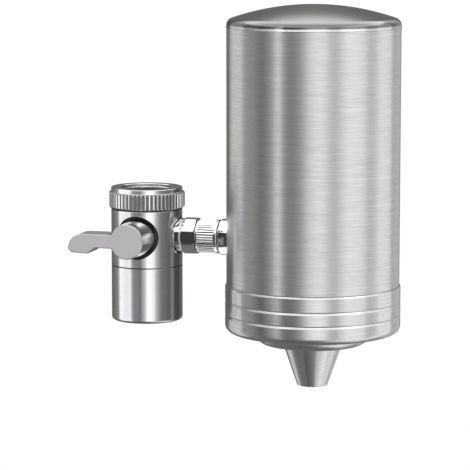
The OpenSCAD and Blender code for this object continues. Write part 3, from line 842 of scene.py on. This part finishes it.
@dataclass
class SubAssembly:
    """Pieces that are built and dressed together."""

    bench: Bench
    shop: PaintShop
    pieces: list[bpy.types.Object] = field(default_factory=list)

    def fit(self, piece: bpy.types.Object, body: str, node: str, finish: Finishes) -> None:
        """Dress a new piece and let it stand for a solid.

        Args:
            piece: The piece.
            body: The body that carries it.
            node: The solid that it stands for.
            finish: Its finish.
        """
        piece.data.materials.clear()
        piece.data.materials.append(self.shop.material(finish))
        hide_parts(node)
        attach(piece, body)
        self.dress(node, finish)
        self.pieces.append(piece)
        log.info("%s: %d faces on %s", piece.name, len(piece.data.polygons), body)

    def dress(self, node: str, finish: Finishes) -> None:
        """Give a solid its finish.

        Args:
            node: The solid's name.
            finish: Its finish.
        """
        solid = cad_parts[node]
        if not solid.material_slots:
            solid.data.materials.append(None)
        for slot in solid.material_slots:
            slot.material = self.shop.material(finish)
        if not solid.hide_render:
            self.pieces.append(solid)
            log.info("%s: kept, %s", node, finish.value.slot)

    def build(self) -> None:
        """Build and dress the pieces."""
        raise NotImplementedError


@dataclass
class CollarNut(SubAssembly):
    """The fluted nut that takes the spout's thread, with the stem and washer inside."""

    shoulder: float = 14.0
    grip: float = 15.0
    shoulder_h: float = 1.6
    height: float = 8.2
    flutes: int = 56
    flute_r: float = 0.66
    thread: float = 10.5
    thread_pitch: float = 1.0
    thread_end: float = 4.2
    relief: float = 10.9
    lip: float = 1.3
    lip_bore: float = 8.45

    def nut(self) -> bpy.types.Object:
        """Turn the nut with its thread and press its flutes.

        Returns:
            The nut.
        """
        edge = self.grip - 0.7
        outside = rounded([
            Corner(self.thread + 0.25, 0), Corner(self.shoulder, 0, 0.35), Corner(self.shoulder, -self.shoulder_h),
            Corner(edge, -self.shoulder_h, 0.12), Corner(self.grip, -self.shoulder_h - 0.7, 0.25),
            Corner(self.grip, -self.height + 0.7, 0.25), Corner(edge, -self.height, 0.12),
            Corner(self.lip_bore, -self.height, 0.2), Corner(self.lip_bore, -self.height + self.lip, 0.1),
            Corner(self.relief, -self.height + self.lip), Corner(self.relief, -self.thread_end),
        ], 4)
        inside: list[Point] = []
        turns = int(self.thread_end / self.thread_pitch)
        for k in range(turns):
            foot = -self.thread_end + self.thread_pitch * k
            inside += [(self.thread, foot + 0.08), (self.thread, foot + 0.25),
                       (self.thread + 0.45, foot + 0.56), (self.thread + 0.45, foot + 0.66)]
        inside += [(self.thread, -self.thread_end + turns * self.thread_pitch - 0.05)]
        piece = self.bench.turn("collar_nut_body", Axis.VALVE, outside + inside, self.flutes * 10)
        self.bench.flute(piece, Axis.VALVE, (-self.height, -self.shoulder_h), self.grip,
                         self.flutes, 10, self.flute_r)
        self.bench.soften(piece, angle=32)
        return piece

    def build(self) -> None:
        """Build the nut and dress what it holds."""
        self.fit(self.nut(), "collar", "collar_nut", Finishes.FLUTED_NICKEL_PAINTED_LIGHT)
        self.dress("swivel_stem", Finishes.TURNED_BRASS)
        self.dress("inlet_washer", Finishes.BLACK_RUBBER)
        self.dress("inlet_strainer", Finishes.STEEL_MESH)


@dataclass
class DiverterValve(SubAssembly):
    """The turned valve body with its bores, and the ball, seats and spindle inside."""

    radius: float = 14.0
    top: float = -8.5
    bottom: float = -30.7
    neck: float = 11.4
    neck_end: float = -36.2
    recess: float = 8.5
    recess_floor: float = 10.4
    spot: float = 7.2
    spot_floor: float = 12.65

    def body(self) -> bpy.types.Object:
        """Turn the body, then cut the lever's side and the port's side.

        Returns:
            The body.
        """
        outline = rounded([
            Corner(8.35, self.top), Corner(self.radius, self.top, 0.35), Corner(self.radius, self.bottom, 0.15),
            Corner(self.neck, self.bottom), Corner(self.neck, self.neck_end, 0.4), Corner(8.05, self.neck_end),
            Corner(8.05, PORT_Z - 7.2), Corner(5.3, PORT_Z - 7.2), Corner(5.3, PORT_Z + 7.2),
            Corner(8.35, PORT_Z + 7.2)], 4)
        piece = self.bench.turn("valve_body_turned", Axis.VALVE, outline, 192)
        spindle_side = [(0, -6.3), (6.3, -6.3), (6.3, 7.19), (6.65, 7.19), (6.65, self.recess_floor),
                        (self.recess, self.recess_floor), (self.recess, 20), (0, 20)]
        port_side = [(0, 0), (5.3, 0), (5.3, 7.2), (6.05, 7.2), (6.05, self.spot_floor),
                     (self.spot, self.spot_floor), (self.spot, 20), (0, 20)]
        self.bench.work(piece, self.bench.turn("spindle_side", Axis.SPINDLE, spindle_side, 128))
        self.bench.work(piece, self.bench.turn("port_side", Axis.PORT, port_side, 96))
        self.bench.soften(piece, angle=28)
        return piece

    def build(self) -> None:
        """Build the body and dress what is inside."""
        self.fit(self.body(), "filter", "valve_body", Finishes.POLISHED_NICKEL)
        for node in ("upper_seat", "lower_seat", "side_seat"):
            self.dress(node, Finishes.WHITE_SEAT)
        self.dress("seat_bush", Finishes.TURNED_BRASS)
        self.dress("valve_ball", Finishes.BALL_CHROME)
        self.dress("spindle", Finishes.TURNED_BRASS)
        self.dress("spindle_oring", Finishes.BLACK_RUBBER)
        self.dress("gland_nut", Finishes.BLACK_GLAND)


@dataclass
class Lever(SubAssembly):
    """The lever: a tapered hub and a bar that curls down to a blunt beak, one casting."""

    hub: float = 7.5
    hub_front: float = 6.75
    back: float = 10.9
    front: float = 25.8
    arm_w: float = 9.8
    above: float = 2.6
    below: float = 2.75
    reach: float = 23.8
    curl_r: float = 6.0
    curl: float = 92.0
    beak: float = 8.2
    beak_drop: float = 2.3
    edge: float = 0.8

    def handle(self) -> bpy.types.Object:
        """Push the arm's outline to a bar, round it, and join it to the hub.

        Returns:
            The handle.
        """
        low = -self.below - self.beak_drop
        side = [(0.0, self.above)]
        side += arc((self.curl_r - self.reach, self.above - self.curl_r), self.curl_r, 90, 90 + self.curl, 22)
        side += [(1.4 - self.reach, low + 0.3), (self.beak - self.reach, low),
                 (self.beak - self.reach + 1.2 * self.beak_drop, -self.below), (0.0, -self.below)]
        points = [Vector((x, -self.front, PORT_Z + z)) * MM for x, z in side]
        arm = self.bench.slab("lever_handle_cast", points, Vector((0, self.arm_w, 0)) * MM)
        self.bench.modify(arm, "BEVEL", width=self.edge * MM, segments=5, limit_method="ANGLE",
                          angle_limit=math.radians(40), miter_outer="MITER_ARC")
        hub = rounded([Corner(0, self.back), Corner(self.hub, self.back, 0.5),
                       Corner(self.hub_front, self.front, 0.5), Corner(0, self.front)], 5)
        self.bench.work(arm, self.bench.turn("lever_hub", Axis.SPINDLE, hub, 144), Cut.ADD)
        socket = [Vector((x, -self.back + 0.2, PORT_Z + z)) * MM
                  for x, z in ((-2.65, -2.65), (2.65, -2.65), (2.65, 2.65), (-2.65, 2.65))]
        self.bench.work(arm, self.bench.slab("square_socket", socket, Vector((0, -9.0, 0)) * MM))
        eye = [(0, self.back - 1), (4.05, self.back - 1), (4.05, self.back + 0.8), (0, self.back + 0.8)]
        self.bench.work(arm, self.bench.turn("spindle_eye", Axis.SPINDLE, eye, 64))
        self.bench.clear()
        bpy.ops.mesh.primitive_cylinder_add(vertices=48, radius=1.95 * MM, depth=9 * MM,
                                            location=Vector((0, -15.5, PORT_Z - 4.5)) * MM)
        self.bench.work(arm, bpy.context.object)
        self.bench.soften(arm, angle=30)
        return arm

    def build(self) -> None:
        """Build the handle and dress its screw."""
        self.fit(self.handle(), "lever", "lever_handle", Finishes.LEVER_SATIN)
        self.dress("lever_grub_screw", Finishes.BLACK_GLAND)


@dataclass
class AeratorOutlet(SubAssembly):
    """The lower sleeve with the aerator in its mouth."""

    radius: float = 14.0
    top: float = -31.0
    bottom: float = -52.7
    mouth: float = 9.8
    lip: float = 1.8
    bore: float = 11.45

    def sleeve(self) -> bpy.types.Object:
        """Turn the sleeve.

        Returns:
            The sleeve.
        """
        outline = rounded([
            Corner(self.bore, self.top), Corner(self.radius, self.top, 0.15), Corner(self.radius, self.bottom, 1.4),
            Corner(self.mouth, self.bottom, 0.35), Corner(self.mouth, self.bottom + self.lip, 0.15),
            Corner(self.bore, self.bottom + self.lip)], 8)
        piece = self.bench.turn("aerator_sleeve_turned", Axis.VALVE, outline, 192)
        self.bench.soften(piece, angle=30)
        return piece

    def build(self) -> None:
        """Build the sleeve and dress the aerator."""
        self.fit(self.sleeve(), "filter", "aerator_sleeve", Finishes.POLISHED_NICKEL)
        self.dress("aerator_washer", Finishes.BLACK_RUBBER)
        self.dress("aerator_strainer", Finishes.STEEL_MESH)
        self.dress("aerator_insert", Finishes.WHITE_PLASTIC)


@dataclass
class SideUnion(SubAssembly):
    """The nipple, the fluted nut and the boss between the valve and the housing."""

    flats: float = 6.8
    face: float = 12.65
    round_l: float = 2.7
    nipple_end: float = 21.25
    thread_end: float = 25.85
    nut_start: float = 21.55
    nut_end: float = 30.4
    nut_r: float = 6.65
    nut_flutes: int = 40
    boss_start: float = 31.0
    wall: float = 34.1
    shell_r: float = 33.5

    def nipple(self) -> bpy.types.Object:
        """Turn the nipple and cut its eight flats.

        Returns:
            The nipple.
        """
        corner = self.flats / math.cos(math.pi / 8) - 0.12
        flats_from = self.face + self.round_l
        outline = rounded([
            Corner(3, 7.2), Corner(6, 7.2, 0.2), Corner(6, self.face - 1.15), Corner(5, self.face - 1.15),
            Corner(5, self.face - 0.01), Corner(self.flats - 0.6, self.face - 0.01),
            Corner(self.flats - 0.1, self.face + 0.5, 0.15), Corner(self.flats - 0.1, flats_from - 0.25, 0.2),
            Corner(self.flats - 0.45, flats_from), Corner(corner - 0.8, flats_from, 0.05),
            Corner(corner, flats_from + 0.8, 0.2), Corner(corner, self.nipple_end, 0.3),
            Corner(4.6, self.nipple_end), Corner(4.6, self.thread_end, 0.3), Corner(3, self.thread_end)], 4)
        piece = self.bench.turn("side_nipple_body", Axis.PORT, outline, 128)
        self.bench.flats(piece, Axis.PORT, 8, self.flats)
        self.bench.soften(piece, angle=12)
        return piece

    def nut(self) -> bpy.types.Object:
        """Turn the union nut and press its flutes.

        Returns:
            The nut.
        """
        r = self.nut_r
        outline = rounded([
            Corner(4.75, self.nut_start), Corner(r, self.nut_start, 0.35), Corner(r, self.nut_start + 0.75),
            Corner(r, self.nut_start + 0.95), Corner(r, self.nut_end - 1.5), Corner(r, self.nut_end - 1.3),
            Corner(r, self.nut_end, 0.45), Corner(3.95, self.nut_end, 0.2), Corner(3.95, self.nut_end - 1.4),
            Corner(5.4, self.nut_end - 1.4), Corner(5.4, self.thread_end - 0.3),
            Corner(4.75, self.thread_end - 0.3)], 4)
        piece = self.bench.turn("union_nut_body", Axis.PORT, outline, self.nut_flutes * 8)
        self.bench.flute(piece, Axis.PORT, (self.nut_start + 0.94, self.nut_end - 1.49), r, self.nut_flutes, 8, 0.3)
        self.bench.soften(piece, angle=32)
        return piece

    def boss(self) -> bpy.types.Object:
        """Turn the boss, cut its flats and fit it to the housing's wall.

        Returns:
            The boss.
        """
        corner = self.flats / math.cos(math.pi / 8) - 0.12
        outline = rounded([
            Corner(3.85, self.boss_start), Corner(corner - 0.1, self.boss_start, 0.35),
            Corner(corner, self.wall + 2.5), Corner(3.85, self.wall + 2.5)], 5)
        piece = self.bench.turn("inlet_boss_body", Axis.PORT, outline, 128)
        self.bench.flats(piece, Axis.PORT, 8, self.flats)
        wall = [(0, -40), (self.shell_r, -40), (self.shell_r, 10), (0, 10)]
        self.bench.work(piece, self.bench.turn("wall_fit", Axis.HOUSING, wall, 256))
        spigot = [(2.7, self.wall - 0.6), (3.9, self.wall - 0.6), (3.9, self.boss_start + 0.5), (4.9, self.boss_start + 0.5),
                  (4.9, self.wall + 1.5), (2.7, self.wall + 1.5)]
        self.bench.work(piece, self.bench.turn("boss_spigot", Axis.PORT, spigot, 96), Cut.ADD)
        self.bench.soften(piece, angle=12)
        return piece

    def build(self) -> None:
        """Build the three pieces and dress what is between them."""
        self.fit(self.nipple(), "filter", "side_nipple", Finishes.BRIGHT_CHROME)
        self.fit(self.nut(), "union", "union_nut", Finishes.BRIGHT_CHROME)
        self.fit(self.boss(), "filter", "inlet_boss", Finishes.BRIGHT_CHROME)
        self.dress("nipple_oring", Finishes.BLACK_RUBBER)
        self.dress("union_gasket", Finishes.BLACK_RUBBER)
        self.dress("union_tail", Finishes.TURNED_BRASS)


@dataclass
class Housing(SubAssembly):
    """The drawn steel can with its domed top and the threaded ring in its open end."""

    radius: float = 33.5
    wall: float = 1.0
    bottom: float = -35.8
    rim: float = 64.4
    crown: float = 97.6
    knuckle: float = 2.8
    hole: float = 4.95
    neck: float = 31.0
    neck_bore: float = 29.0
    neck_end: float = -47.8
    thread_depth: float = 0.6
    thread_pitch: float = 2.5

    def dome_points(self, inset: float) -> list[Point]:
        """Give the dome's half outline from the rim to the axis.

        Args:
            inset: Distance inside the outer face in millimetres.

        Returns:
            The points, the last on the axis.
        """
        kx, kz = self.radius - self.knuckle, self.rim
        crown_z = kz - math.sqrt((self.crown - self.knuckle) ** 2 - kx ** 2)
        join = math.degrees(math.atan2(kz - crown_z, kx))
        outer = arc((kx, kz), self.knuckle - inset, 0, join, 18)
        top = arc((0, crown_z), self.crown - inset, join, 90, 20)
        return outer + top[1:-1] + [(0, crown_z + self.crown - inset)]

    def can(self) -> bpy.types.Object:
        """Turn the can with the bead under its drawn edge, and cut the boss's hole.

        Returns:
            The can.
        """
        outer, inner = self.dome_points(0), self.dome_points(self.wall)
        outline = [(self.radius - self.wall, self.bottom + 0.2), (self.radius - self.wall + 0.2, self.bottom),
                   (self.radius - 0.2, self.bottom), (self.radius, self.bottom + 0.2)]
        bead = [(self.radius, self.rim - 1.02), (self.radius + 0.24, self.rim - 0.84), (self.radius, self.rim - 0.18)]
        outline += bead + outer
        piece = self.bench.turn("housing_can", Axis.HOUSING, [*reversed(inner), *outline], 256)
        hole = [(0, self.radius - 12), (self.hole, self.radius - 12), (self.hole, self.radius + 12),
                (0, self.radius + 12)]
        self.bench.work(piece, self.bench.turn("boss_hole", Axis.PORT, hole, 96))
        self.bench.soften(piece, angle=24)
        return piece

    def neck_ring(self) -> bpy.types.Object:
        """Turn the threaded ring and wind its thread.

        Returns:
            The ring.
        """
        root, seat = self.neck - self.thread_depth, self.radius - self.wall - 0.05
        outline = rounded([
            Corner(self.neck_bore, self.neck_end, 0.2), Corner(root, self.neck_end, 0.5), Corner(root, self.bottom),
            Corner(seat, self.bottom), Corner(seat, self.bottom + 7, 0.3), Corner(seat - 1.2, self.bottom + 7, 0.3),
            Corner(self.neck_bore, self.bottom + 5.5, 0.3)], 4)
        ring = self.bench.turn("neck_ring_threaded", Axis.HOUSING, outline, 192)
        line = Axis.HOUSING.value
        start = self.bottom - 1.5
        ridge = [line.place(root - 0.2, start + 0.85), line.place(self.neck, start + 0.28),
                 line.place(self.neck, start - 0.28), line.place(root - 0.2, start - 0.85)]
        thread = self.bench.wire("neck_thread", ridge, True)
        bpy.ops.object.mode_set(mode="OBJECT")
        bpy.context.scene.cursor.location = line.place(0, 0)
        bpy.ops.object.origin_set(type="ORIGIN_CURSOR")
        self.bench.modify(thread, "SCREW", axis="Z", angle=2 * math.pi, screw_offset=-self.thread_pitch * MM,
                          iterations=4, steps=96, render_steps=96, use_merge_vertices=False)
        self.bench.hold(thread)
        bpy.ops.object.mode_set(mode="EDIT")
        bpy.ops.mesh.select_all(action="SELECT")
        bpy.ops.mesh.fill_holes(sides=6)
        self.bench.settle(thread)
        self.bench.work(ring, thread, Cut.ADD)
        self.bench.soften(ring, angle=30)
        return ring

    def build(self) -> None:
        """Build the can and the ring, and dress the seal."""
        self.fit(self.can(), "filter", "housing_shell", Finishes.HOUSING_STEEL)
        self.fit(self.neck_ring(), "filter", "neck_ring", Finishes.BASE_STEEL)
        self.dress("base_seal", Finishes.BLACK_RUBBER)


@dataclass
class Base(SubAssembly):
    """The screwed base with its grooves and dish, and the spout cone under it."""

    radius: float = 34.0
    top: float = -35.86
    lip: float = 0.28
    bottom: float = -54.3
    edge: float = 3.0
    grooves: tuple[float, float] = (-41.8, -47.1)
    groove_w: float = 1.2
    groove_deep: float = 0.34
    dish: float = 22.1
    dish_edge: float = 3.9
    dish_bottom: float = -58.95
    floor: float = 2.0
    floor_r: float = 28.6
    shank: float = 6.5
    shank_top: float = -51.45
    socket_end: float = -61.35
    bore: float = 31.15
    ledge: float = -49.43
    cone: float = 11.6
    tip: float = 5.9
    tip_z: float = -75.5
    tip_bore: float = 3.6

    def cap(self) -> bpy.types.Object:
        """Turn the base in one outline.

        Returns:
            The base.
        """
        sides: list[Corner] = []
        for z in self.grooves:
            sides += [Corner(self.radius, z + 0.25 * self.groove_w, 0.05),
                      Corner(self.radius - self.groove_deep, z - 0.1 * self.groove_w, 0.05),
                      Corner(self.radius, z - 0.75 * self.groove_w, 0.1)]
        outline = rounded([
            Corner(self.bore, self.top, 0.2), Corner(self.radius - self.lip, self.top, 0.06),
            Corner(self.radius, self.top - 2.3 * self.lip, 0.1), *sides,
            Corner(self.radius, self.bottom, self.edge), Corner(self.dish, self.bottom, 1.4),
            Corner(self.dish, self.dish_bottom, self.dish_edge), Corner(self.shank + 0.05, self.dish_bottom),
            Corner(self.shank + 0.05, self.dish_bottom + self.floor),
            Corner(self.dish - self.floor, self.dish_bottom + self.floor, 2.0),
            Corner(self.dish - self.floor, self.bottom + self.floor, 0.3),
            Corner(self.floor_r, self.bottom + self.floor, 0.3), Corner(self.floor_r, self.ledge),
            Corner(self.bore, self.ledge)], 10)
        piece = self.bench.turn("base_cap_turned", Axis.HOUSING, outline, 224)
        self.bench.soften(piece, angle=24)
        return piece

    def spout(self) -> bpy.types.Object:
        """Turn the cone with its shank and socket.

        Returns:
            The cone.
        """
        outline = rounded([
            Corner(self.tip_bore, self.tip_z, 0.35), Corner(self.tip, self.tip_z, 0.3),
            Corner(self.cone, self.dish_bottom), Corner(self.shank, self.dish_bottom),
            Corner(self.shank, self.shank_top, 0.4), Corner(4.7, self.shank_top, 0.4),
            Corner(4.7, self.socket_end), Corner(self.tip_bore, self.socket_end - 1)], 6)
        piece = self.bench.turn("spout_cone_turned", Axis.HOUSING, outline, 160)
        self.bench.soften(piece, angle=24)
        return piece

    def build(self) -> None:
        """Build the base and the cone, and dress the lock nut and washer."""
        self.fit(self.cap(), "base", "base_cap", Finishes.BASE_STEEL)
        self.fit(self.spout(), "base", "spout_cone", Finishes.BASE_STEEL)
        self.dress("cone_washer", Finishes.RED_FIBRE)
        self.dress("cone_lock_nut", Finishes.BASE_STEEL)


@dataclass
class Cartridge(SubAssembly):
    """The cartridge inside the housing, whose solids are right as they are."""

    def build(self) -> None:
        """Dress each of its solids."""
        for node in ("cartridge_upper_cap", "cartridge_lower_cap", "core_tube"):
            self.dress(node, Finishes.WHITE_PLASTIC)
        self.dress("pleated_sleeve", Finishes.FILTER_CLOTH)
        self.dress("carbon_block", Finishes.CARBON)
        for node in ("spigot_oring_upper", "spigot_oring_lower"):
            self.dress(node, Finishes.BLACK_RUBBER)


@dataclass(frozen=True)
class Lamp:
    """A soft box on a circle round the object.

    Args:
        name: Its name.
        bearing: Angle round the object in degrees, from the camera to the right.
        spread: Width as an angle in degrees.
        level: Brightness, where 1 is white.
        lift: Angle above level in degrees.
        height: Height in metres.
    """

    name: str
    bearing: float
    spread: float
    level: float
    lift: float = 0.0
    height: float = 2.4


@dataclass
class Studio:
    """Floor, surroundings, lamps and camera."""

    camera_at: Colour = (300.9, -906.65, 113.5)
    yaw: float = -16.276
    pitch: float = 7.923
    lens: float = 187.03
    bearing_zero: float = -71.64
    distance: float = 1.5
    plain: float = 0.65
    ring: tuple[Point, ...] = (
        (-180, 0.14), (-157, 0.13), (-135, 0.16), (-118, 0.22), (-106, 0.26), (-98, 0.30), (-86, 0.22), (-76, 0.10),
        (-66, 0.10), (-57, 0.26), (-49, 0.16), (-42, 0.03), (-34, 0.05), (-26, 0.08), (-18, 0.28), (-9, 0.58),
        (-1, 0.72), (6, 0.78), (11, 0.76), (17, 0.56), (25, 0.46), (32, 0.46), (40, 0.28), (47, 0.18), (66, 0.15),
        (74, 0.09), (82, 0.15), (91, 0.30), (98, 0.07), (124, 0.06), (140, 0.14), (180, 0.14))

    low_ring: tuple[Point, ...] = (
        (-180, 0.16), (-75, 0.16), (-50, 0.10), (8, 0.10), (22, 0.6), (60, 0.95), (100, 0.8), (125, 0.25), (180, 0.16))

    def way(self, bearing: float, lift: float) -> Vector:
        """Give a direction from the object.

        Args:
            bearing: Degrees from the camera to the right.
            lift: Degrees above level.

        Returns:
            The direction.
        """
        a, e = math.radians(self.bearing_zero + bearing), math.radians(lift)
        return Vector((math.cos(a) * math.cos(e), math.sin(a) * math.cos(e), math.sin(e)))

    def surroundings(self) -> None:
        """White for the eye, a plain level for matt faces, and pale and dark boards for gloss."""
        world = bpy.data.worlds.new("studio")
        bpy.context.scene.world = world
        world.use_nodes = True
        world.cycles.sampling_method = "NONE"
        graph = Graph(world.node_tree)
        ray = graph.add("ShaderNodeTexCoord", out="Generated")
        front = graph.add("ShaderNodeVectorMath", {"operation": "DOT_PRODUCT"}, {0: ray, 1: self.way(0, 0)}, "Value")
        right = graph.add("ShaderNodeVectorMath", {"operation": "DOT_PRODUCT"}, {0: ray, 1: self.way(90, 0)}, "Value")
        rise = graph.parts(ray)[2]
        turn = right.calc("ARCTAN2", front) / (2 * math.pi) + 0.5
        stops = [((bearing + 180) / 360, level) for bearing, level in self.ring]
        boards = graph.add("ShaderNodeValToRGB", {"stops": stops}, {0: turn})
        low_stops = [((bearing + 180) / 360, level) for bearing, level in self.low_ring]
        low_boards = graph.add("ShaderNodeValToRGB", {"stops": low_stops}, {0: turn})
        strip = (1 - rise.step(0.66, 0.76)) * front.step(-0.6, -0.4)
        sky = graph.tint((1, 1, 1), (0 - front).step(0.0, 0.6) * 0.12 + strip * 0.5 + 0.66)
        upper = graph.blend((rise - (0 - front).step(0.0, 0.6) * 0.12).step(0.4, 0.5), boards, sky)
        lower = graph.blend((0 - rise).step(0.86, 0.93), low_boards, (0.13, 0.13, 0.13))
        gloss = graph.blend((0 - rise).step(0.5, 0.68), upper, lower)
        path = graph.add("ShaderNodeLightPath", out="Is Glossy Ray")
        seen = graph.add("ShaderNodeLightPath", out="Is Camera Ray")
        clear = graph.add("ShaderNodeLightPath", out="Is Transmission Ray")
        level = graph.blend(path, (self.plain, self.plain, self.plain), gloss)
        white = graph.blend(seen.calc("MAXIMUM", clear), level, (1, 1, 1))
        back = graph.add("ShaderNodeBackground", None, {"Color": white, "Strength": 1.0})
        graph.add("ShaderNodeOutputWorld", None, {"Surface": back})

    def floor(self) -> None:
        """A pale round floor under the object, which keeps its shadow."""
        bench = Bench()
        bench.clear()
        bpy.ops.mesh.primitive_circle_add(vertices=96, radius=1.2, fill_type="NGON", location=(0.03, 0, -0.42))
        disc = bpy.context.object
        disc.name = "floor"
        bpy.ops.object.transform_apply(location=True, rotation=True, scale=True)
        material = bpy.data.materials.new("pale_floor")
        material.use_nodes = True
        graph = Graph(material.node_tree)
        grain = graph.noise(graph.place(), 40, 2) * 0.02 + 0.93
        matt = graph.add("ShaderNodeBsdfDiffuse", None, {"Color": graph.tint((1, 1, 1), grain)})
        glow = graph.add("ShaderNodeEmission", None, {"Color": (1, 1, 1, 1), "Strength": 1.0})
        seen = graph.add("ShaderNodeLightPath", out="Is Camera Ray")
        clear = graph.add("ShaderNodeLightPath", out="Is Transmission Ray")
        share = seen * 0.6 + clear
        mixed = graph.add("ShaderNodeMixShader", None, {0: share, 1: matt, 2: glow})
        graph.add("ShaderNodeOutputMaterial", None, {"Surface": mixed})
        disc.data.materials.append(material)
        disc.visible_glossy = False

    def lamp(self, lamp: Lamp, receivers: Optional[Sequence[bpy.types.Object]] = None,
             target: Colour = (0.05, 0, 0.0)) -> None:
        """Place one soft box.

        Args:
            lamp: The soft box.
            receivers: The pieces that it lights, or None for all.
            target: The point that it faces.
        """
        width = 2 * self.distance * math.tan(math.radians(lamp.spread / 2))
        data = bpy.data.lights.new(lamp.name, "AREA")
        data.shape = "RECTANGLE"
        data.size, data.size_y = width, lamp.height
        data.energy = lamp.level * math.pi * width * lamp.height
        obj = bpy.data.objects.new(lamp.name, data)
        bpy.context.scene.collection.objects.link(obj)
        way = self.way(lamp.bearing, lamp.lift)
        obj.location = Vector(target) + way * self.distance
        obj.rotation_euler = way.to_track_quat("Z", "Y").to_euler()
        if receivers is not None:
            group = bpy.data.collections.new(lamp.name + "_receivers")
            for piece in receivers:
                group.objects.link(piece)
            obj.light_linking.receiver_collection = group

    def camera(self) -> None:
        """Place the camera at the photograph's viewing angle."""
        data = bpy.data.cameras.new("camera")
        data.lens, data.sensor_width, data.sensor_fit = self.lens, 36.0, "HORIZONTAL"
        data.clip_start, data.clip_end = 0.01, 20
        obj = bpy.data.objects.new("camera", data)
        obj.location = Vector(self.camera_at) * MM
        obj.rotation_euler = (math.radians(90 - self.pitch), 0, math.radians(-self.yaw))
        bpy.context.scene.collection.objects.link(obj)
        bpy.context.scene.camera = obj

    def build(self, valve: Sequence[bpy.types.Object], lever: Sequence[bpy.types.Object],
              union: Sequence[bpy.types.Object], housing: Sequence[bpy.types.Object]) -> None:
        """Set up the studio.

        Args:
            valve: The valve's pieces.
            lever: The lever's pieces.
            union: The side union's pieces.
            housing: The pieces of the housing, the base and the cartridge, the can and its ring first.
        """
        bpy.context.scene.view_settings.view_transform = "Standard"
        self.surroundings()
        self.floor()
        self.camera()
        self.lamp(Lamp("top_box", 0, 40, 0.4, 88, 1.1), [*valve, *lever, *union])
        for lamp in (Lamp("left_box", -79, 48, 0.84), Lamp("front_box", 10, 30, 0.5), Lamp("fill_box", -42, 26, 0.18)):
            self.lamp(lamp, valve)
        self.lamp(Lamp("lever_box", -37, 44, 0.6, -8, 1.4), lever)
        for lamp in (Lamp("over_box", -84, 50, 0.95, 70, 1.4), Lamp("under_box", -133, 50, 0.9, -70, 1.4)):
            self.lamp(lamp, union)
        for lamp in (Lamp("side_box", 76, 90, 0.38), Lamp("right_box", 54, 30, 0.34), Lamp("bright_box", 106, 30, 0.42),
                     Lamp("edge_box", 140, 34, 0.36), Lamp("far_box", -128, 36, 0.46), Lamp("near_box", 2, 30, 0.12),
                     Lamp("low_box", -30, 80, 0.1)):
            self.lamp(lamp, housing)
        self.lamp(Lamp("strip_box", -50, 9, 0.66), housing[:2])
        self.lamp(Lamp("low_strip_box", -50, 9, 0.25), housing[2:])
        for piece in housing:
            piece.visible_glossy = False
        log.info("studio ready")


def main() -> None:
    """Build the sub-assemblies in order, then the studio."""
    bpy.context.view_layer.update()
    bench, shop = Bench(), PaintShop()
    collar, valve, lever = CollarNut(bench, shop), DiverterValve(bench, shop), Lever(bench, shop)
    outlet, union = AeratorOutlet(bench, shop), SideUnion(bench, shop)
    housing, base, cartridge = Housing(bench, shop), Base(bench, shop), Cartridge(bench, shop)
    for part in (collar, valve, lever, outlet, union, housing, base, cartridge):
        part.build()
        log.info("%s built", type(part).__name__)
    bench.clear()
    Studio().build(collar.pieces + valve.pieces + outlet.pieces, lever.pieces, union.pieces,
                   housing.pieces + base.pieces + cartridge.pieces)


if __name__ == "__main__":
    logging.basicConfig(level=logging.INFO, format="%(name)s: %(message)s")
    main()
